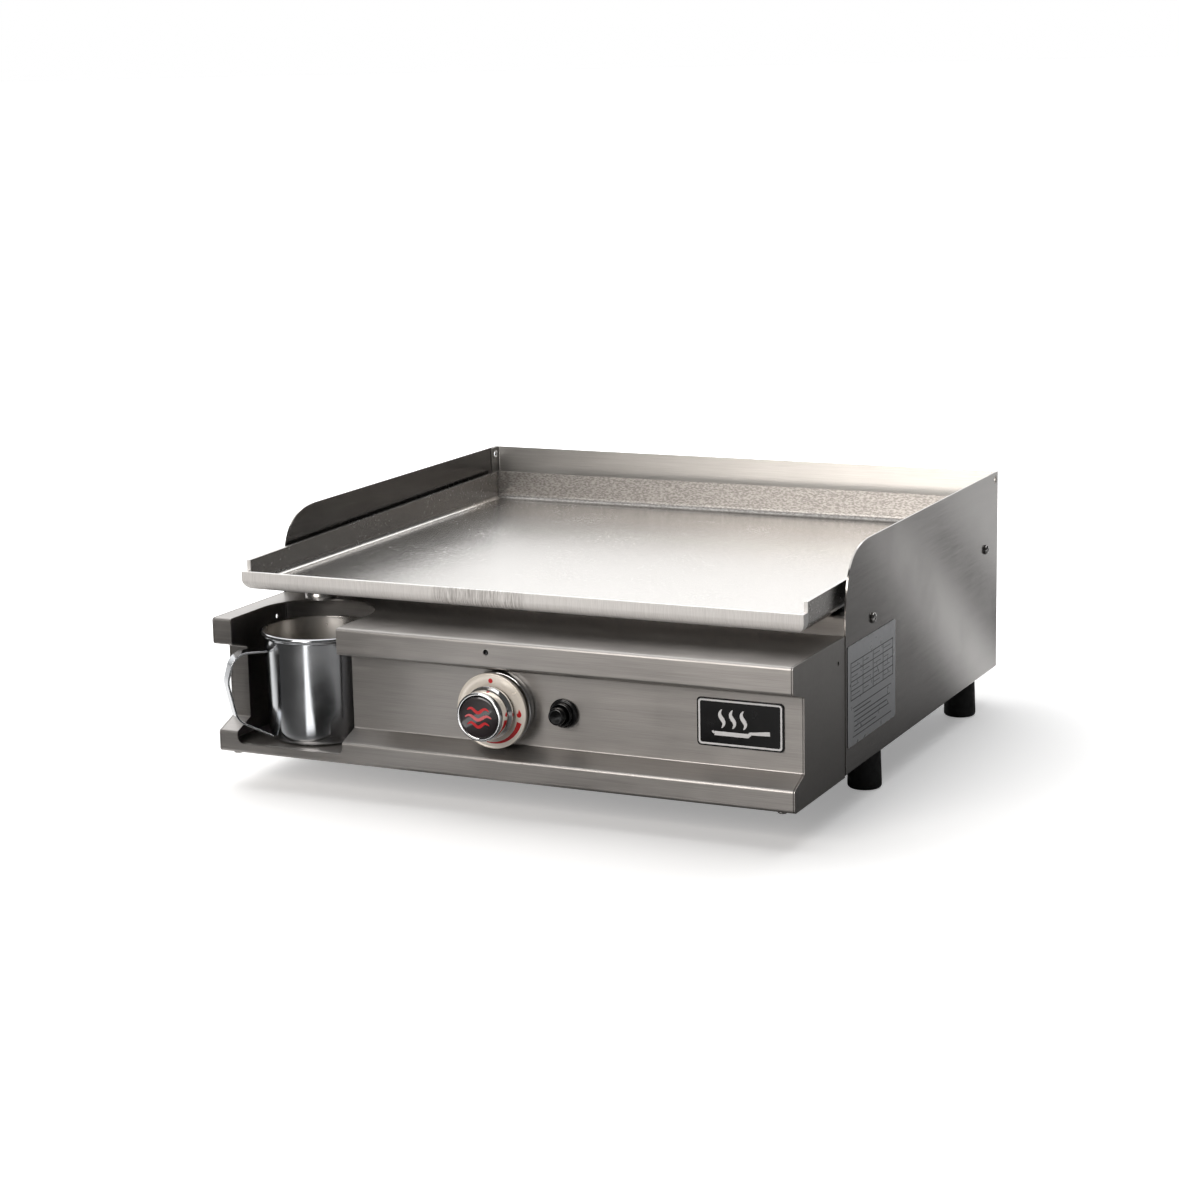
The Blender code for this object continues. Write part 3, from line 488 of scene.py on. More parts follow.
MUG_STEEL = polished("buffed stainless of the mug", "polished_stainless", "c9cbce", 0.13, 0.20, 0.5, 18, True)
MUG_INSIDE = polished("spun inside of the mug", "polished_stainless", "cfccc8", 0.26, 0.36, 0.8, 20, True)
SCREW_STEEL = polished("polished screw heads", "polished_stainless", "b4b2b0", 0.16, 0.24, 0.4, 3)
# The dial is chrome drawn as a pale cream that is mostly not metallic: the cream paints in the warm light
# that the chrome reflects.
DIAL_CREAM_PAINTED_REFLECTION = polished("dial chrome drawn cream, a painted warm reflection", "chrome", "f3ebe0", 0.24, 0.30, 0.5, 45)
DIAL_CREAM_PAINTED_REFLECTION.node_tree.nodes["Principled BSDF"].inputs["Metallic"].default_value = 0.2
CHROME = polished("bright chrome plating", "chrome", "dcdcdc", 0.03, 0.08, 0.6, 9)
print("polished metals ready")

# %% [markdown]
# ### Plastics, rubber, paint and the hidden metals
#
# Moulded black plastic has a skin with a slight orange peel. Rubber is dull, with a fine grain.
# The marks on the dial are red enamel. Zinc-coated sheet shows its crystals as flat patches a
# few millimetres across, which a Voronoi cell pattern draws at once. Brass and copper are drawn
# or turned and a little dulled.

# %% Plastics, rubber, enamel
def moulded(name, slot, colour, roughness, peel, depth, coat=0.0):
    """A moulded or painted surface with a fine relief and uneven gloss."""
    material, shader = new_finish(name, slot, Base_Color=tint(colour), Roughness=roughness,
                                         Coat_Weight=coat)
    place = node(material, "ShaderNodeTexCoord")
    grain = node(material, "ShaderNodeTexNoise", {"Scale": 1 / (peel * MM), "Detail": 4},
                 Vector=place.outputs["Object"])
    dull = node(material, "ShaderNodeTexNoise", {"Scale": 1 / (12 * peel * MM), "Detail": 4},
                Vector=place.outputs["Object"])
    uneven = node(material, "ShaderNodeMapRange", {"From Min": 0.35, "From Max": 0.7,
                                                   "To Min": roughness * 0.8, "To Max": roughness * 1.3},
                  Value=dull.outputs[0])
    bump = node(material, "ShaderNodeBump", {"Strength": 0.4, "Distance": depth * MM},
                Height=grain.outputs[0])
    feed(material, shader, Roughness=uneven.outputs[0], Normal=bump.outputs[0])
    return material


BLACK_PLASTIC = moulded("glossy black phenolic", "black_plastic", "0e0e0f", 0.16, 0.8, 0.01)
RUBBER = moulded("matt black rubber", "black_rubber", "262626", 0.62, 0.5, 0.06)
SILICONE = moulded("silicone sleeve", "silicone_lead", "6e2119", 0.5, 0.9, 0.03)
RED_ENAMEL = moulded("red enamel marks", "chrome", "c81e22", 0.32, 0.6, 0.01)
CAP_RED = moulded("red print under the cap", "chrome", "d4222a", 0.35, 0.6, 0.01, coat=1.0)
BADGE_BLACK = moulded("black badge print", "badge_enamel", "121213", 0.22, 0.7, 0.01)
BADGE_WHITE = moulded("white badge print", "badge_enamel", "e9e9ea", 0.3, 0.7, 0.01)
CERAMIC = moulded("glazed ceramic", "white_ceramic", "ded9cd", 0.18, 1.2, 0.02, coat=0.5)
print("plastics, rubber and enamel ready")

# %% Hidden metals
def drawn_metal(name, slot, colour, roughness, grain, along, across):
    """A drawn, turned or rolled metal with its tool marks along one axis."""
    material, shader = new_finish(name, slot, Metallic=1.0)
    place = node(material, "ShaderNodeTexCoord")
    marks = node(material, "ShaderNodeMapping", {"Scale": stretched(grain, along, across)},
                 Vector=place.outputs["Object"])
    marks = node(material, "ShaderNodeTexNoise", {"Scale": 1, "Detail": 4}, Vector=marks.outputs[0])
    bright = tint(colour)
    dull = tuple(part * 0.62 for part in bright[:3]) + (1,)
    tone = node(material, "ShaderNodeValToRGB", {}, Fac=marks.outputs[0])
    grade(tone, (0.3, dull), (0.65, bright))
    rough = node(material, "ShaderNodeMapRange", {"From Min": 0.3, "From Max": 0.7,
                                                  "To Min": roughness * 1.25, "To Max": roughness * 0.85},
                 Value=marks.outputs[0])
    bump = node(material, "ShaderNodeBump", {"Strength": 0.3, "Distance": 0.02 * MM},
                Height=marks.outputs[0])
    feed(material, shader, Base_Color=tone.outputs[0], Roughness=rough.outputs[0],
         Normal=bump.outputs[0])
    return material


def zinc_coat():
    """Hot-dip zinc: flat crystals with slightly different tones."""
    material, shader = new_finish("spangled zinc coating", "galvanised_steel", Metallic=0.7)
    place = node(material, "ShaderNodeTexCoord")
    crystals = node(material, "ShaderNodeTexVoronoi", {"Scale": 1 / (7 * MM)},
                    Vector=place.outputs["Object"])
    tone = node(material, "ShaderNodeValToRGB", {}, Fac=crystals.outputs["Color"])
    grade(tone, (0, tint("a9acaf")), (1, tint("cfd1d3")))
    rough = node(material, "ShaderNodeMapRange", {"To Min": 0.38, "To Max": 0.58},
                 Value=crystals.outputs["Color"])
    feed(material, shader, Base_Color=tone.outputs[0], Roughness=rough.outputs[0])
    return material


ZINC = zinc_coat()
BRASS = drawn_metal("machined brass", "brass", "c9a15c", 0.28, "y", 0.6, 6)
COPPER = drawn_metal("drawn copper tube", "copper", "b9704e", 0.33, "y", 30, 0.8)
SPRING_STEEL = drawn_metal("drawn spring steel", "spring_steel", "9b9a99", 0.3, "y", 8, 0.5)
BURNER_STEEL = drawn_metal("burner steel with a straw heat tint", "brushed_stainless", "a89878", 0.36,
                           "y", 60, 1.2)
print("hidden metals ready")

# %% [markdown]
# ## Console
#
# The console is one sheet, folded round a core: a top, an upper strip, a recessed panel for the
# controls, a slanted foot and a lower strip. It could be modelled face by face, but folding one
# line gives every bend the same radius, as the press brake does. The mug's bay is cut out of the
# top and the front, and small round holes take the pointer dot, the spindle and the igniter.

# %% Console shell
SHEET, BEND = 1.2, 1.8
shell_low, shell_high = span("console_shell")
joints = {joint["name"]: joint for joint in frame["joints"]}
knob_at = (Vector(joints["knob_turn"]["pos_m"]) - ORIGIN) / MM
igniter_at = middle("igniter_button")
mug_at = middle("mug_body")
mug_low, mug_high = span("mug_body")
RECESS_Y = 21.0
CONSOLE_LINE = [(shell_high.y, shell_high.z - SHEET / 2), (SHEET / 2, shell_high.z - SHEET / 2),
                (SHEET / 2, -19.2), (RECESS_Y + SHEET / 2, -24.9),
                (RECESS_Y + SHEET / 2, -79.6), (2.3 + SHEET / 2, -86.9),
                (2.3 + SHEET / 2, shell_low.z + SHEET / 2), (shell_high.y, shell_low.z + SHEET / 2)]
BAY_HALF = 45.2
SILL = mug_low.z - 0.1

shell = make("console_skin", prism(folded(CONSOLE_LINE, SHEET, BEND), "x", shell_low.x, shell_high.x),
             CONSOLE_STEEL, "chassis", ["console_shell"], ease=0.22)
bay_left, bay_right = mug_at.x - BAY_HALF, mug_at.x + BAY_HALF
mouth = [(bay_left, -10), (bay_right, -10)] + arc(mug_at.x, mug_at.y - 5, BAY_HALF, 0, 180, 40)
window = [(bay_left, -8), (bay_right, -8)] + arc(bay_right - 5, SILL + 5, 5, 0, -90, 8)
window += arc(bay_left + 5, SILL + 5, 5, -90, -180, 8)
index_hole = (knob_at.x, -4, -8.3)
drip_slot = block((-228.1, 28, -105), (-225.3, 62, -98))
holes = [turned([(0, 0), (5, 0), (5, 12), (0, 12)], (knob_at.x, RECESS_Y - 4, knob_at.z), "y", 24),
         turned([(0, 0), (8.6, 0), (8.6, 12), (0, 12)], (igniter_at.x, RECESS_Y - 4, igniter_at.z), "y", 32),
         turned([(0, 0), (2.1, 0), (2.1, 12), (0, 12)], index_hole, "y", 32),
         drip_slot]
cut(shell, [prism(mouth, "z", -15, 10), prism(window, "y", -10, 40)] + holes)
print("console skin:", len(shell.data.polygons), "faces")

# %% [markdown]
# The console's ends are flat caps, laser-cut to the folded outline, with one small flange for
# the screw below. Their edges show as a thin bright line, so they get the same eased edge.

# %% Console ends, bay shelf and divider
def console_outline(grow):
    """The console's side view, grown outwards from the sheet's middle line."""
    return [tuple(point - normal * grow) for point, normal in rounded_path(CONSOLE_LINE, BEND)]


CONSOLE_HALF = 230.0
for end in ("left", "right"):
    side = -1 if end == "left" else 1
    face = side * CONSOLE_HALF
    inner = face - side * SHEET
    cap = make("console_cap_" + end, prism(console_outline(SHEET / 2), "x", min(face, inner),
                                           max(face, inner)), CONSOLE_STEEL, "chassis",
               ["console_end_" + end], ease=0.2)
    reach = sorted((side * 210, side * 229.5))
    flange_low = shell_low.z + SHEET + 0.3
    cut(cap, [block((reach[0], 7.2, flange_low), (reach[1], 22, flange_low + SHEET))], "UNION")
    cut(cap, [turned([(0, 0), (1.6, 0), (1.6, 8), (0, 8)], (face - 4, 87, -16.6), "x", 24)])

low, high = span("bay_floor")
shelf_line = [(high.y, high.z - SHEET / 2), (5.7, high.z - SHEET / 2), (5.7, -100.6)]
make("mug_shelf", prism(folded(shelf_line, SHEET, BEND), "x", low.x, high.x), CONSOLE_STEEL, "chassis",
     ["bay_floor"], ease=0.15)
low, high = span("bay_divider")
make("bay_wall", prism(console_outline(-1.4), "x", low.x, high.x), CONSOLE_STEEL, "chassis",
     ["bay_divider"], ease=0.15)
print("console caps, shelf and divider made")

# %% [markdown]
# ## Chassis panels
#
# The two side panels are cut with a long curve at the front top corner and folded in along the
# bottom, where the feet are screwed on. The back panel folds forwards at both sides, and one
# screw hole high at each end still shows. The curve is a Bezier arc; a quarter ellipse would do
# too, but the real one starts steep and then runs out nearly flat.

# %% Side panels
def bezier(one, two, three, four, steps):
    """Points on a cubic Bezier curve."""
    points = []
    for step in range(steps + 1):
        t = step / steps
        points.append(tuple(one[i] * (1 - t) ** 3 + two[i] * 3 * t * (1 - t) ** 2
                            + three[i] * 3 * t ** 2 * (1 - t) + four[i] * t ** 3 for i in (0, 1)))
    return points


def bore(radius, where, axis, length=12, segments=24):
    """A round cutter that runs half its length both ways from a point."""
    half = length / 2
    return turned([(0, -half), (radius, -half), (radius, half), (0, half)], where, axis, segments)


PANEL_TOP = span("side_panel_right")[1].z
CORNER_HOLE, CORNER_HOLE_RADIUS = (453.7, 56.0), 3.2
for name, side in (("left", -1), ("right", 1)):
    low, high = span("side_panel_" + name)
    face = side * (max(abs(low.x), abs(high.x)) - SHEET / 2)
    line = [(face, 90), (face, low.z + SHEET / 2), (side * 206, low.z + SHEET / 2)]
    panel = make("side_sheet_" + name, prism(folded(line, SHEET, BEND), "y", low.y, high.y), SIDE_STEEL,
                 "chassis", ["side_panel_" + name], ease=0.25)
    curve = bezier((100.5, 5), (102, 48), (112, PANEL_TOP + 1), (160, PANEL_TOP), 36)
    curve = [(y, min(z, PANEL_TOP)) for y, z in curve]
    corner = [(90, 5)] + curve + [(470, PANEL_TOP), (470, 120), (90, 120)]
    screws = [middle("side_screw_front_" + name), middle("side_screw_rear_" + name)]
    drills = [bore(2.4, (face, screw.y, screw.z), "x") for screw in screws]
    drills.append(bore(CORNER_HOLE_RADIUS, (face, *CORNER_HOLE), "x"))
    cut(panel, [prism(corner, "x", -260, 260)] + drills)
print("side panels made")

# %% Back panel
low, high = span("back_panel")
half = high.x - SHEET / 2
line = [(-half, low.y), (-half, high.y - SHEET / 2), (half, high.y - SHEET / 2), (half, low.y)]
# Its finish is the paler copy of the steel, with brighter light painted in.
back = make("back_sheet", prism(folded(line, SHEET, BEND), "z", low.z, high.z), BACK_STEEL_PAINTED_PALER,
            "chassis", ["back_panel"], ease=0.25)
inlet_at = middle("gas_inlet")
VENT_Z, VENT_REACH, VENT_RADIUS = -40, 14, 3
slots = [arc(x + VENT_REACH, VENT_Z, VENT_RADIUS, -90, 90, 12)
         + arc(x - VENT_REACH, VENT_Z, VENT_RADIUS, 90, 270, 12)
         for x in (-150, -100, -50, 0, 50, 100)]
holes = [bore(CORNER_HOLE_RADIUS, (side * half, *CORNER_HOLE), "x", 10) for side in (-1, 1)]
holes.append(bore(6.9, (inlet_at.x, high.y, inlet_at.z), "y", 10))
cut(back, [prism(slot, "y", 450, 470) for slot in slots] + holes)
print("back panel:", len(back.data.polygons), "faces")

# %% [markdown]
# ## Cooking plate
#
# The plate is a tray of 3 mm steel. Its front is turned up only a little, with a generous round
# bend, and the lip's lower corners are rounded too. The side walls start just behind it and rise
# gently to the back. The tray is a long prism with its inside cut out by a second tray with a
# smaller bend radius, so the steel is equally thick all round. The four inside corners are
# welded, and the beads are ground nearly flush.

# %% Plate
low, high = span("griddle_plate")
STEEL, PLATE_BEND = 3.0, 8.0
LIP_TOP, WALL_FRONT, WALL_BACK = 28.5, 36.0, high.z
step = low.y + PLATE_BEND


def tray_side(front, back, floor, radius, front_top, back_top):
    """A tray's side view with round corners."""
    return ([(front, front_top)] + arc(front + radius, floor + radius, radius, 180, 270, 12)
            + arc(back - radius, floor + radius, radius, 270, 360, 12) + [(back, back_top)])


outside = tray_side(low.y, high.y, low.z, PLATE_BEND, LIP_TOP, WALL_BACK)
outside += [(step, WALL_FRONT), (step, LIP_TOP)]
plate = make("cooking_plate", prism(outside, "x", low.x, high.x), PLATE_STEEL, "plate",
             ["griddle_plate"], ease=0.45, rounds=3)
inner = PLATE_BEND - STEEL
floor = low.z + STEEL
inside = tray_side(low.y + STEEL, high.y - STEEL, floor, inner, 70, 70)
half = high.x - STEEL
across = tray_side(-half, half, floor, inner, 70, 70)
well = make("well", prism(inside, "x", -half, half), PLATE_STEEL, "plate", ease=0)
cut(well, [prism(across, "y", 0, 500)], "INTERSECT")
hollow = bmesh.new()
hollow.from_mesh(well.data)
bmesh.ops.transform(hollow, matrix=TO_WORLD.inverted(), verts=hollow.verts[:])
bpy.data.objects.remove(well)
scraps = []
for side in (-1, 1):
    edge = side * high.x
    curve = arc(edge - side * PLATE_BEND, low.z + PLATE_BEND, PLATE_BEND, -90, -90 + side * 90, 12)
    outer = [(edge + side * 5, low.z + PLATE_BEND), (edge + side * 5, low.z - 5), (curve[0][0], low.z - 5)]
    scraps.append(prism(curve + outer, "y", low.y - 1, 500))
drain_at = middle("drain_collar")
cut(plate, [hollow] + scraps + [bore(9, (drain_at.x, drain_at.y, low.z), "z", 16, 48)])
print("plate:", len(plate.data.polygons), "faces")

# %% Drain collar
low, high = span("drain_collar")
outer = (high.x - low.x) / 2
profile = [(outer - 2.2, low.z), (outer - 0.3, low.z), (outer, low.z + 0.4), (outer, high.z),
           (outer - 2.4, high.z), (outer - 2.4, low.z + 0.2)]
make("drain_spout", turned(profile, (drain_at.x, drain_at.y, 0)), PLATE_STEEL, "plate", ["drain_collar"],
     ease=0)
print("drain spout made")

# %% [markdown]
# ## Grease mug
#
# The mug is a spun cup: a thin wall with a slight taper, a base with a standing ring and a
# rolled rim, all turned from one half section. Its handle is a strip 12 mm wide, bent into an
# ear and spot-welded at both ends. The strip is a prism like the console, then turned to the
# direction that the handle has.

# %% Mug body
height = mug_high.z - mug_low.z
RIM = (mug_high.x - mug_low.x) / 2
outside = [(0, 1.1), (28.4, 1.1)] + arc(30.4, 1.6, 1.6, 200, 270, 4) + [(34.4, 0)]
outside += arc(34.4, 4.6, 4.6, 278, 350, 8) + [(39.5, 9), (40.4, 30), (41.0, height - 14),
                                              (41.25, height - 5.2)]
outside += arc(42.9, height - 5.2, 1.65, 180, 100, 5)[1:]
roll = arc(RIM - 1.75, height - 1.75, 1.75, -60, 150, 14)
inside = [(41.0, height - 2.6), (40.4, height - 5), (40.1, height - 14), (39.5, 30), (38.6, 9)]
inside += arc(34.2, 5.2, 4.2, -8, -82, 7) + [(31.6, 1.0), (30.2, 1.9), (28.6, 2.1), (0, 2.1)]
mug = make("grease_mug", turned(outside + roll + inside, (mug_at.x, mug_at.y, mug_low.z), "z", 128),
           MUG_STEEL, "mug", ["mug_body"], ease=0)
mug.data.materials.append(MUG_INSIDE)
wall_axis = ORIGIN + mug_at * MM
for face in mug.data.polygons:
    outward = (face.center - wall_axis) * Vector((1, 1, 0))
    face.material_index = int(face.normal.dot(outward) < 0)
print("mug:", round(height, 1), "mm tall,", round(2 * RIM, 1), "mm across the rim")

# %% Mug handle
HANDLE_TURN = 228
low, high = span("mug_handle")
ear = [(41.9, -26.3), (66.5, -25.6), (72.6, -47), (66.5, -76.5), (40.1, -91.4)]
strip = prism(folded(ear, 1.5, 13, 14), "y", -6.0, 6.0)
bmesh.ops.rotate(strip, verts=strip.verts[:], matrix=Matrix.Rotation(math.radians(HANDLE_TURN), 3, "Z"))
bmesh.ops.translate(strip, verts=strip.verts[:], vec=(mug_at.x, mug_at.y, 0))
make("mug_ear", strip, MUG_STEEL, "mug", ["mug_handle"], ease=0.4, rounds=3)
print("handle reaches", round(high.z - low.z, 1), "mm in height")

# %% [markdown]
# ## Gas knob
#
# From the panel outwards the knob has a fixed base ring, a dial that floats in front of it, a
# stepped barrel to hold and a domed cap. All of them are turned and plated. The dial carries
# printed marks: a dot for off, a flame for full heat, and a wedge that thins out towards low
# heat. The marks are real slivers of enamel 0.06 mm proud of the chrome, because a texture would
# need coordinates of its own, and because the slivers turn with the knob.

# %% Knob metal
panel_face = span("knob_base_ring")[1].y
on_axis = (knob_at.x, panel_face, knob_at.z)
depth = panel_face - span("knob_cap")[0].y
ring = [(17, 0), (26.4, 0), (27.0, 0.7), (27.0, 4.2)] + arc(25.6, 4.6, 1.4, 10, 90, 6) + [(17, 6.0)]
make("knob_seat", turned(ring, on_axis, "-y", 96), CHROME, "chassis", ["knob_base_ring"], ease=0)
dial = [(18.2, 11.2), (24.4, 11.2), (25.2, 11.6), (26.7, 11.6)] + arc(26.7, 12.4, 0.8, -80, 0, 4)
dial += arc(26.7, 13.9, 0.8, 0, 90, 5)
dial += [(26.3, 14.7), (26.0, 14.5), (25.7, 14.5), (25.4, 14.7), (18.2, 14.7)]
# The dial wears the cream that paints in its reflection.
make("knob_dial_disc", turned(dial, on_axis, "-y", 96), DIAL_CREAM_PAINTED_REFLECTION, "knob", ["knob_dial"], ease=0)
barrel = [(0, 26.6), (3.3, 26.6), (3.3, 8.4), (10, 8.4), (10, 10.2), (17.9, 11.0), (17.9, 17.0),
          (18.6, 17.1)] + arc(18.6, 17.7, 0.6, -90, 0, 4) + arc(18.4, 19.0, 0.8, 0, 70, 5)
barrel += [(17.6, 21.4), (16.9, 22.4), (16.9, 23.6), (17.4, 24.2), (17.9, 25.0), (17.9, depth - 3.0)]
barrel += arc(16.5, depth - 2.6, 1.4, 0, 90, 8) + [(15.3, depth - 1.2), (15.2, depth - 1.6),
                                                  (15.2, depth - 3.2), (0, depth - 3.2)]
make("knob_grip", turned(barrel, on_axis, "-y", 96), CHROME, "knob", ["knob_barrel"], ease=0)
print("knob:", round(depth, 1), "mm deep")

# %% [markdown]
# The cap is a clear resin dome over a dark disc, so it looks almost black with a bright spot. A
# full glass shader would be slow and noisy for 1.5 mm of resin. A dark base under a clear coat
# looks the same from every side. The emblem below the resin is a plain row of heat waves.

# %% Knob cap and emblem
CAP_DARK = moulded("dark disc under clear resin", "chrome", "2a2426", 0.3, 0.9, 0.01, coat=1.0)
dome = [(0, depth - 2.9), (14.8, depth - 2.9), (14.8, depth - 1.3)]
dome += [(14.8 * math.cos(turn), depth - 1.3 + 1.25 * math.sin(turn))
         for turn in [math.radians(6 * step) for step in range(1, 15)]] + [(0, depth - 0.05)]
make("knob_cap_dome", turned(dome, on_axis, "-y", 96), CAP_DARK, "knob", ["knob_cap"], ease=0)


def ribbon(points, widths, front, thick):
    """A flat ribbon in an upright plane, given its middle line and half widths."""
    left, right = [], []
    for index, (x, z) in enumerate(points):
        x0, z0 = points[max(index - 1, 0)]
        x1, z1 = points[min(index + 1, len(points) - 1)]
        run = Vector((x1 - x0, z1 - z0)).normalized()
        half = widths[index]
        left.append((x - run.y * half, z + run.x * half))
        right.append((x + run.y * half, z - run.x * half))
    return prism(left + right[::-1], "y", front, front + thick)


def dome_front(x, z):
    """How far the cap's surface stands out at a point."""
    share = min(0.999, math.hypot(x, z) / 14.8)
    return depth - 1.3 + 1.25 * math.sin(math.acos(share))


for row, (shift, reach) in enumerate(((5.2, 8.5), (0.0, 10.5), (-5.2, 8.5))):
    steps = 28
    line = [(-reach + 2 * reach * step / steps, shift + 1.5 * math.sin(3 * math.pi * step / steps))
            for step in range(steps + 1)]
    widths = [1.15 * math.sin(math.pi * (step + 0.6) / (steps + 1.2)) ** 0.5 for step in range(steps + 1)]
    wave = ribbon([(knob_at.x + x, knob_at.z + z) for x, z in line], widths, 0, 0.1)
    for vert in wave.verts:
        rise = dome_front(vert.co.x - knob_at.x, vert.co.z - knob_at.z)
        vert.co.y += panel_face - rise - 0.05
    make("cap_wave_" + str(row), wave, CAP_RED, "knob", ease=0)
print("cap and emblem made")

# %% Dial marks
DIAL_FACE = panel_face - 14.7 - 0.06


def on_dial(radius, clock):
    """A point on the dial, with the clock position in hours."""
    turn = math.radians(90 - 30 * clock)
    return knob_at.x + radius * math.cos(turn), knob_at.z + radius * math.sin(turn)


x, z = on_dial(22.2, 0)
make("mark_off", prism(arc(x, z, 1.75, 0, 345, 23), "y", DIAL_FACE, DIAL_FACE + 0.1), RED_ENAMEL, "knob",
     ease=0)
x, z = on_dial(22.0, 3)
flame = [(0.0, 3.3), (0.9, 1.9), (1.7, 0.7), (2.0, -0.6), (1.6, -1.9), (0.6, -2.7), (-0.6, -2.7),
         (-1.6, -1.9), (-1.9, -0.7), (-1.3, 0.5), (-0.7, -0.1), (-0.5, 1.4)]
make("mark_flame", prism([(x + a, z + b) for a, b in flame], "y", DIAL_FACE, DIAL_FACE + 0.1), RED_ENAMEL,
     "knob", ease=0)
steps = 40
clocks = [3.55 + (6.35 - 3.55) * step / steps for step in range(steps + 1)]
widths = [1.9 - 1.6 * step / steps for step in range(steps + 1)]
wedge = ribbon([on_dial(23.0, clock) for clock in clocks], widths, DIAL_FACE, 0.1)
make("mark_wedge", wedge, RED_ENAMEL, "knob", ease=0)
dot = turned([(0, 0), (2.0, 0), (2.0, 0.8), (0, 0.8)], (index_hole[0], 0.9, index_hole[2]), "y", 32)
make("pointer_dot", dot, BLACK_PLASTIC, "chassis", ease=0.1)
print("dial marks and pointer made")

# %% [markdown]
# ## Push igniter
#
# The piezo igniter is a black moulding: a flange with a rounded lip on the panel, a collar, and
# the button inside it. The button moves 5 mm, so it is its own piece on its own body.

# %% Igniter
axis = (igniter_at.x, RECESS_Y - 0.3, igniter_at.z)
housing = [(0, 36), (6, 36), (8.3, 34), (8.3, 0.3), (8.3, 0), (10.3, 0)] + arc(10.0, -0.6, 0.6, 60, 0, 3)
housing += arc(9.6, -2.2, 1.0, 0, -90, 5) + [(8.9, -3.2), (8.6, -3.5)] + [(8.6, -6.9)]
housing += arc(7.7, -6.9, 0.9, 0, -90, 5) + [(7.2, -7.8), (6.8, -7.3), (6.8, 31), (0, 31)]
make("igniter_body", turned(housing, axis, "y", 64), BLACK_PLASTIC, "chassis", ["igniter_housing"], ease=0)
low, high = span("igniter_button")
button = [(0, low.y + 0.35), (2.6, low.y + 0.25), (4.2, low.y)] + arc(5.0, low.y + 1.2, 1.2, 270, 350, 5)
button += [(6.4, low.y + 2.4), (6.4, high.y), (0, high.y)]
make("igniter_push_button", turned(button, (igniter_at.x, 0, igniter_at.z), "y", 64), BLACK_PLASTIC,
     "igniter_push", ["igniter_button"], ease=0)
print("igniter made")

# %% [markdown]
# ## Badge and label
#
# The badge is a small printed plate on the control panel. Its print here is generic: a pan with
# a handle and three waves of heat over it, inside a white line. The label on the side is silver
# foil with a ruled table and a framed notice. Where they carry words, plain bars stand for the
# lines, and all of it is one mesh of thin slivers.

# %% Badge
low, high = span("badge_plate")
make("badge", prism(rounded((low.x, low.z), (high.x, high.z), 3), "y", low.y + 0.1, high.y),
     BADGE_BLACK, "chassis", ["badge_plate"], ease=0.25)
print_face = low.y + 0.02
centre = (low + high) / 2
outer = rounded((low.x + 1.2, low.z + 1.2), (high.x - 1.2, high.z - 1.2), 2.2)
inner = rounded((low.x + 2.5, low.z + 2.5), (high.x - 2.5, high.z - 2.5), 1.4)
border = make("badge_border", prism(outer, "y", print_face, print_face + 0.12), BADGE_WHITE,
              "chassis", ease=0)
cut(border, [prism(inner, "y", print_face - 1, print_face + 1)])
pan = [(-15, -5.2), (10, -5.2), (11.6, -3.6), (12.4, -3.4), (26, -2.4)]
widths = [1.5, 1.5, 1.2, 1.0, 1.5]
make("badge_pan", ribbon([(centre.x - 4 + x, centre.z - 2.5 + z) for x, z in pan], widths, print_face, 0.12),
     BADGE_WHITE, "chassis", ease=0)
make("badge_pan_side", ribbon([(centre.x - 20.6, centre.z - 6.2), (centre.x - 19.2, centre.z - 7.7)],
                              [0.7, 0.7], print_face, 0.12), BADGE_WHITE, "chassis", ease=0)
for index in range(3):
    steps = 24
    x = centre.x - 13.5 + index * 8
    line = [(x + 1.5 * math.sin(2 * math.pi * step / steps), centre.z - 3.6 + 13 * step / steps)
            for step in range(steps + 1)]
    widths = [0.3 + 1.2 * math.sin(math.pi * step / steps) for step in range(steps + 1)]
    make("badge_wave_" + str(index), ribbon(line, widths, print_face, 0.12), BADGE_WHITE, "chassis", ease=0)
print("badge", round(high.x - low.x, 1), "by", round(high.z - low.z, 1), "mm")

# %% Rating label
FOIL = moulded("matt silver foil", "label_foil", "cdced1", 0.34, 0.6, 0.01)
FOIL.node_tree.nodes["Principled BSDF"].inputs["Metallic"].default_value = 0.55
INK = moulded("grey label ink", "label_foil", "4a4c50", 0.5, 0.6, 0.01)
low, high = span("rating_label")
make("side_label", prism(rounded((low.y, low.z), (high.y, high.z), 2), "x", low.x, high.x - 0.08),
     FOIL, "chassis", ["rating_label"], ease=0.1)
face = high.x - 0.1
printed = bmesh.new()


def rule(y0, z0, y1, z1, half=0.3):
    """Adds a straight printed line to the label."""
    start = Vector((face, min(y0, y1) - half, min(z0, z1) - half))
    end = Vector((face + 0.1, max(y0, y1) + half, max(z0, z1) + half))
    place = Matrix.Translation((start + end) / 2) @ Matrix.Diagonal((*(end - start), 1))
    bmesh.ops.create_cube(printed, size=1, matrix=place)


left, right, top, bottom = low.y + 6, high.y - 6, high.z - 13, high.z - 40
rows = [top - (top - bottom) * index / 4 for index in range(5)]
columns = [left + (right - left) * share for share in (0, 0.28, 0.52, 0.76, 1)]
for z in rows:
    rule(left, z, right, z)
for y in columns:
    rule(y, bottom, y, top)
for row, z in enumerate(rows[:-1]):
    for column, y in enumerate(columns[:-1]):
        reach = (columns[column + 1] - y) * (0.75, 0.55, 0.65)[(row + column) % 3]
        rule(y + 2, z - 3.4, y + reach, z - 3.4, 0.2)
for z in (low.z + 27, low.z + 6):
    rule(low.y + 10, z, high.y - 10, z)
for row, share in enumerate((0.45, 1.0, 0.92, 0.97, 0.6)):
    z = low.z + 24 - 3.6 * row
    rule(low.y + 13, z, low.y + 13 + (high.y - low.y - 26) * share, z, 0.35)
make("label_print", printed, INK, "chassis", ease=0)
print("label made")

# %% [markdown]
# ## Screws and feet
#
# The panel screws are pan heads with a cross recess. The recess is cut by two crossed wedges
# that narrow downwards, as the real driver bit does. The feet are moulded rubber with a rounded
# lower edge, a slight draft and a steel screw up the middle.

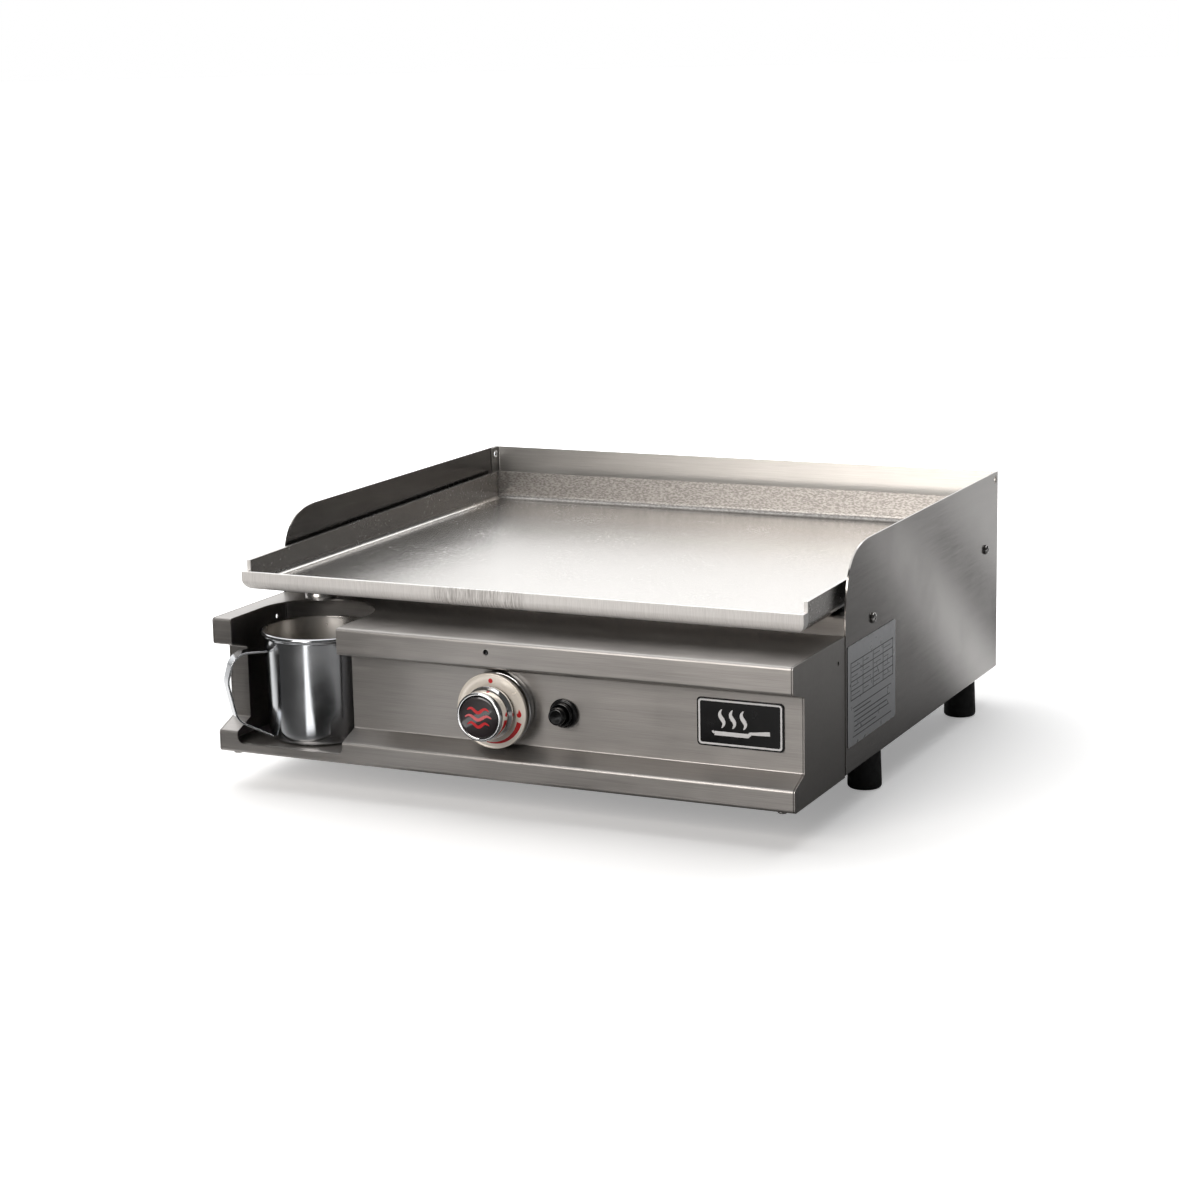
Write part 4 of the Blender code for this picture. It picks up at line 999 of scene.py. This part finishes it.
# %% Screws
def cross_screw(name, node_name, axis, radius, head, shank):
    """A pan-head screw with a cross recess, standing out along an axis."""
    low, high = span(node_name)
    centre = (low + high) / 2
    tip = {"x": (high.x - head, centre.y, centre.z), "-x": (low.x + head, centre.y, centre.z),
           "-z": (centre.x, centre.y, low.z + head)}[axis]
    dome = [(radius, 0), (radius, head * 0.3)]
    dome += [(radius * math.cos(turn) ** 0.6, head * 0.3 + head * 0.7 * math.sin(turn))
             for turn in [math.radians(10 * step) for step in range(1, 9)]] + [(0, head)]
    profile = [(0, -shank), (1.6, -shank), (2.0, 0.6 - shank), (2.0, 0)] + dome
    screw = make(name, turned(profile, tip, axis, 40), SCREW_STEEL, "chassis", [node_name], ease=0)
    wings = []
    for turn in (0.4, 0.4 + math.pi / 2):
        wing = prism([(-2.1, head + 0.2), (2.1, head + 0.2), (1.0, head - 1.3), (-1.0, head - 1.3)],
                     "y", -0.45, 0.45)
        spin = Matrix.Translation(Vector(tip)) @ AIMS[axis] @ Matrix.Rotation(turn, 4, "Z")
        bmesh.ops.transform(wing, matrix=spin, verts=wing.verts[:])
        wings.append(wing)
    cut(screw, wings)


for name, axis in (("left", "-x"), ("right", "x")):
    for row in ("front", "rear"):
        cross_screw("panel_screw_" + row + "_" + name, "side_screw_" + row + "_" + name, axis, 3.9, 2.2, 6.5)
    cross_screw("underside_screw_" + name, "console_screw_" + name, "-z", 3.6, 2.0, 4.4)
print("cross-head screws made")

# %% Feet
for row in ("front", "rear"):
    for name in ("left", "right"):
        low, high = span("foot_" + row + "_" + name)
        centre, radius, tall = (low + high) / 2, (high.x - low.x) / 2, high.z - low.z
        rubber = [(2.6, tall), (2.6, 9.0), (6.0, 9.0), (6.0, 0.6), (6.6, 0)]
        rubber += arc(radius - 2.6, 2.6, 2.6, 270, 360, 8) + [(radius, 5), (radius - 0.8, tall - 1.2)]
        rubber += arc(radius - 2.0, tall - 1.2, 1.2, 0, 90, 5)
        make("rubber_foot_" + row + "_" + name, turned(rubber, (centre.x, centre.y, low.z), "z", 64), RUBBER,
             "chassis", ["foot_" + row + "_" + name], ease=0)
print("feet made")

# %% [markdown]
# ## Burner and gas fittings
#
# These show only with the plate lifted off or from behind. The port tubes get their rows of
# slits, cut with a saw on the real ones, and the inlet its turned thread. The other pieces of
# the gas train have the right shape already, so they keep their CAD meshes and only get metal.

# %% Port tubes
for name in ("left", "right"):
    low, high = span("burner_tube_" + name)
    centre, radius = (low + high) / 2, (high.x - low.x) / 2
    tube = [(0, low.y), (radius, low.y), (radius, high.y - 6)] + [
        (radius * math.cos(turn), high.y - 6 + 6 * math.sin(turn))
        for turn in [math.radians(10 * step) for step in range(1, 9)]] + [(0, high.y)]
    made = make("port_tube_" + name, turned(tube, (centre.x, 0, centre.z), "y", 40), BURNER_STEEL, "chassis",
                ["burner_tube_" + name], ease=0)
    rows = []
    for index in range(26):
        y = low.y + 16 + index * 9.4
        for side in (-1, 1):
            x = centre.x + side * 6.6
            rows.append(block((x - 3.4, y - 0.6, centre.z + 6.5), (x + 3.4, y + 0.6, centre.z + 12)))
    joined = bmesh.new()
    for slit in rows:
        mesh = bpy.data.meshes.new("slit")
        slit.to_mesh(mesh)
        joined.from_mesh(mesh)
        slit.free()
        bpy.data.meshes.remove(mesh)
    cut(made, [joined])
print("port tubes slit")

# %% Gas inlet
low, high = span("gas_inlet")
y = low.y
inlet = [(0, y), (4.6, y), (6.4, y + 0.5), (6.4, y + 20.3), (9.4, y + 20.5), (9.9, y + 21), (9.9, y + 23.8),
         (9.4, y + 24.2), (6.4, y + 24.4)]
pitch = 1.4
for index in range(9):
    start = y + 24.8 + index * pitch
    inlet += [(6.4, start), (6.4, start + 0.25), (5.75, start + 0.7), (5.75, start + 0.95)]
inlet += [(6.2, y + 38.2), (6.2, y + 40), (5.6, high.y - 0.5), (5.2, high.y), (3.0, high.y),
          (3.0, high.y - 12), (0, high.y - 12)]
make("gas_nipple", turned(inlet, (inlet_at.x, 0, inlet_at.z), "y", 48), BRASS, "chassis",
     ["gas_inlet"], ease=0)
print("gas inlet made")

# %% [markdown]
# The two push springs are round wire wound into a coil, swept here as a ring of points that
# travels along a helix. Each lies between a fixed face and the part that is pushed. On the real
# griddle it gets shorter with the push; here it is drawn at its full length and stays on the chassis.

# %% Coil springs
def coil_spring(name, node_name, wire, turns):
    """A round-wire spring at full length in the box of its CAD node."""
    low, high = span(node_name)
    centre = (low + high) / 2
    radius = (high.x - low.x) / 2 - wire
    steps, sides = 28 * turns, 10
    bm = bmesh.new()
    rings = []
    for step in range(steps + 1):
        turn = 2 * math.pi * turns * step / steps
        out = Vector((math.cos(turn), 0, math.sin(turn)))
        middle_y = low.y + wire + (high.y - low.y - 2 * wire) * step / steps
        rings.append([])
        for side in range(sides):
            around = 2 * math.pi * side / sides
            spot = Vector((centre.x, middle_y + wire * math.sin(around), centre.z))
            rings[-1].append(bm.verts.new(spot + out * (radius + wire * math.cos(around))))
    for ring, following in zip(rings, rings[1:]):
        for side in range(sides):
            beside = (side + 1) % sides
            bm.faces.new((ring[side], ring[beside], following[beside], following[side]))
    bm.faces.new(rings[0])
    bm.faces.new(rings[-1])
    spring = make(name, bm, SPRING_STEEL, "chassis", [node_name], ease=0)
    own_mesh(spring)


coil_spring("knob_coil", "knob_spring", 0.6, 3)
coil_spring("igniter_coil", "igniter_spring", 0.5, 5)

# %% Finishes of the CAD pieces that stay
KEPT = {"air_shutter": ZINC, "bottom_pan": ZINC, "burner_stand_front": ZINC, "burner_stand_rear": ZINC,
        "plate_rail_left": ZINC, "plate_rail_right": ZINC, "burner_crossbar": BURNER_STEEL,
        "venturi_tube": BURNER_STEEL, "front_bulkhead": CONSOLE_STEEL, "gas_injector": BRASS,
        "gas_valve_body": BRASS, "valve_spindle": BRASS, "inlet_lock_nut": BRASS, "gas_pipe": COPPER,
        "thermocouple_lead": COPPER, "thermocouple_probe": COPPER, "igniter_nut": BLACK_PLASTIC,
        "knob_thrust_washer": SPRING_STEEL, "spark_electrode": CERAMIC, "ignition_lead": SILICONE}
for row in ("front", "rear"):
    for name in ("left", "right"):
        KEPT["foot_screw_" + row + "_" + name] = SPRING_STEEL
for name, finish in KEPT.items():
    kept = frame["nodes"][name]
    kept.data.materials.clear()
    kept.data.materials.append(finish)
print("finished", len(KEPT), "CAD pieces")

# %% [markdown]
# ## Studio
#
# Metal shows the room more than itself, so the room is built with care and kept plain: a pale
# floor, a lit wall behind and to the left, one large soft light overhead, another in front on
# the left, and a slim one low in front that draws the band on the mug. The rest of the room is
# dark, which gives the steel its deep greys. To the eye the floor is overexposed paper, which
# keeps only the softest shadow, so for camera rays it adds some light of its own and fades to
# pure white further out. In the metal the floor carries painted shade and painted light: grey
# ramps along a slanting line on the floor paint the shade beside and ahead of the console and
# pale streaks of light further out, which come out as the soft slanting streaks on the right
# side panel, and a dark round spot in front paints a shadow.

# %% Floor
FLOOR_GLOW = 0.30
# The painted shade and light on the floor that the metal sees, beside and ahead of the console, at distances
# in metres along the slanting line.
LINE_START, LINE_END = -0.2, 1.0
BESIDE_PAINTED_SHADE_AND_LIGHT = ((-0.12, "ffffff"), (0.00, "f6f6f6"), (0.05, "8c8c8c"), (0.10, "ffffff"), (0.15, "868686"),
          (0.24, "7c7c7c"), (0.34, "6e6e6e"), (0.62, "e0e0e0"))
AHEAD_PAINTED_SHADE_AND_LIGHT = ((-0.10, "3c3c3c"), (0.32, "969696"))


def studio_floor():
    """A flat sheet of white paper, far larger than the view, with shade and light painted on it for
    reflections.
    """
    bm = bmesh.new()
    reach = 60
    bm.faces.new([bm.verts.new((x * reach, y * reach, 0)) for x, y in ((-1, -1), (1, -1), (1, 1), (-1, 1))])
    mesh = bpy.data.meshes.new("paper_floor")
    bm.to_mesh(mesh)
    bm.free()
    material = bpy.data.materials.new("white paper")
    material.use_nodes = True
    nodes, links = material.node_tree.nodes, material.node_tree.links
    shader = nodes["Principled BSDF"]
    shader.inputs["Roughness"].default_value = 0.9
    shader.inputs["Specular IOR Level"].default_value = 0.1
    shader.inputs["Emission Color"].default_value = tint("ffffff")
    place = node(material, "ShaderNodeTexCoord")
    far = node(material, "ShaderNodeVectorMath", {"operation": "LENGTH"}, Vector=place.outputs["Object"])
    fade = node(material, "ShaderNodeMapRange", {"interpolation_type": "SMOOTHSTEP", "From Min": 0.33,
                                                 "From Max": 0.62, "To Min": FLOOR_GLOW, "To Max": 1.0},
                Value=far.outputs["Value"])
    seen = node(material, "ShaderNodeLightPath")
    glow = node(material, "ShaderNodeMath", {"operation": "MULTIPLY"}, i0=fade.outputs[0],
                i1=seen.outputs["Is Camera Ray"])
    links.new(glow.outputs[0], shader.inputs["Emission Strength"])
    # The slanting ramps paint shade near the console and pale streaks of light further out, seen only in
    # reflections.
    slant = node(material, "ShaderNodeVectorMath", {"operation": "DOT_PRODUCT", 1: (0.9, -0.44, 0)},
                 i0=place.outputs["Object"])
    slant = node(material, "ShaderNodeMapRange", {"From Min": LINE_START, "From Max": LINE_END},
                 Value=slant.outputs["Value"])
    beside = node(material, "ShaderNodeValToRGB", {}, Fac=slant.outputs[0])
    ahead = node(material, "ShaderNodeValToRGB", {}, Fac=slant.outputs[0])
    for ramp, stops in ((beside, BESIDE_PAINTED_SHADE_AND_LIGHT), (ahead, AHEAD_PAINTED_SHADE_AND_LIGHT)):
        ramp.color_ramp.interpolation = "EASE"
        grade(ramp, *[((reach - LINE_START) / (LINE_END - LINE_START), tint(code)) for reach, code in stops])
    parts = node(material, "ShaderNodeSeparateXYZ", {}, i0=place.outputs["Object"])
    back = node(material, "ShaderNodeMapRange", {"interpolation_type": "SMOOTHSTEP", "From Min": -0.33,
                                                 "From Max": -0.22}, Value=parts.outputs["Y"])
    # A dark round spot on the floor in front is a painted shadow, which the mug and the console front
    # reflect.
    painted_shadow = node(material, "ShaderNodeVectorMath", {"operation": "DISTANCE", 1: (-0.03, -0.41, 0)},
                 i0=place.outputs["Object"])
    painted_shadow = node(material, "ShaderNodeMapRange", {"interpolation_type": "SMOOTHSTEP", "From Min": 0.11,
                                                  "From Max": 0.16}, Value=painted_shadow.outputs["Value"])
    ahead = node(material, "ShaderNodeMix", {"data_type": "RGBA", 6: tint("101010")}, i0=painted_shadow.outputs[0],
                 i7=ahead.outputs[0])
    sheets = node(material, "ShaderNodeMix", {"data_type": "RGBA"}, i0=back.outputs[0],
                  i6=ahead.outputs[2], i7=beside.outputs[0])
    paper = node(material, "ShaderNodeMix", {"data_type": "RGBA", 7: tint("f2f2f2")},
                 i0=seen.outputs["Is Camera Ray"], i6=sheets.outputs[2])
    links.new(paper.outputs[2], shader.inputs["Base Color"])
    mesh.materials.append(material)
    floor_piece = bpy.data.objects.new("paper_floor", mesh)
    bpy.context.scene.collection.objects.link(floor_piece)


studio_floor()
print("floor ready")

# %% Lit wall and dark room
WALL_AIM = Vector((-0.45, 0.88, 0.12)).normalized()
WALL_LIGHT, ROOM_LIGHT = 1.45, 0.08
world = bpy.data.worlds.new("studio")
bpy.context.scene.world = world
world.use_nodes = True
sky = world.node_tree.nodes["Background"]
aim = node(world, "ShaderNodeTexCoord")
towards = node(world, "ShaderNodeVectorMath", {"operation": "DOT_PRODUCT", 1: WALL_AIM},
               i0=aim.outputs["Generated"])
wall = node(world, "ShaderNodeMapRange", {"interpolation_type": "SMOOTHSTEP",
                                          "From Min": math.cos(math.radians(46)),
                                          "From Max": math.cos(math.radians(33)),
                                          "To Min": ROOM_LIGHT, "To Max": WALL_LIGHT},
            Value=towards.outputs["Value"])
seen = node(world, "ShaderNodeLightPath")
shown = node(world, "ShaderNodeMix", {3: 1.0}, i0=seen.outputs["Is Camera Ray"], i2=wall.outputs[0])
world.node_tree.links.new(shown.outputs[0], sky.inputs["Strength"])
sky.inputs["Color"].default_value = tint("ffffff")
print("wall lit towards", [round(value, 2) for value in WALL_AIM])


# %% Soft lights
def soft_light(name, where, towards, size, power, colour="ffffff"):
    """A rectangular soft light at a place, turned to face a point."""
    data = bpy.data.lights.new(name, "AREA")
    data.shape = "RECTANGLE"
    data.size, data.size_y = size
    data.energy = power
    data.color = tint(colour)[:3]
    light = bpy.data.objects.new(name, data)
    light.location = where
    light.rotation_mode = "QUATERNION"
    light.rotation_quaternion = (Vector(towards) - Vector(where)).to_track_quat("-Z", "Y")
    bpy.context.scene.collection.objects.link(light)


soft_light("overhead", (-0.35, 0.45, 1.8), (0, 0, 0), (2.8, 2.8), 44)
soft_light("front", (-0.32, -1.75, 0.80), (0, 0, 0.1), (0.95, 0.9), 19, "fffaf5")
soft_light("floor strip", (-0.145, -0.57, 0.004), (-0.145, -0.57, 1), (0.05, 0.46), 0.15)
bpy.context.scene.view_settings.view_transform = "Standard"
print("lights on")

# %% [markdown]
# ## Camera
#
# The camera stands 1.8 m in front, to the right, and looks down nearly 12 degrees
# through a long lens, as a product photographer does to keep the sides nearly parallel.

# %% Camera
camera_data = bpy.data.cameras.new("studio camera")
camera_data.sensor_width = 36
camera_data.lens = 80.48
camera_data.clip_start, camera_data.clip_end = 0.05, 60
camera = bpy.data.objects.new("studio camera", camera_data)
bpy.context.scene.collection.objects.link(camera)
TURN, TILT, ROLL = 25.779, 11.643, -1.235
camera.matrix_world = (Matrix.Translation((0.8518, -1.8312, 0.5386))
                       @ Matrix.Rotation(math.radians(TURN), 4, "Z")
                       @ Matrix.Rotation(math.radians(90 - TILT), 4, "X")
                       @ Matrix.Rotation(math.radians(ROLL), 4, "Z"))
bpy.context.scene.camera = camera
print("camera at", [round(value, 3) for value in camera.location])
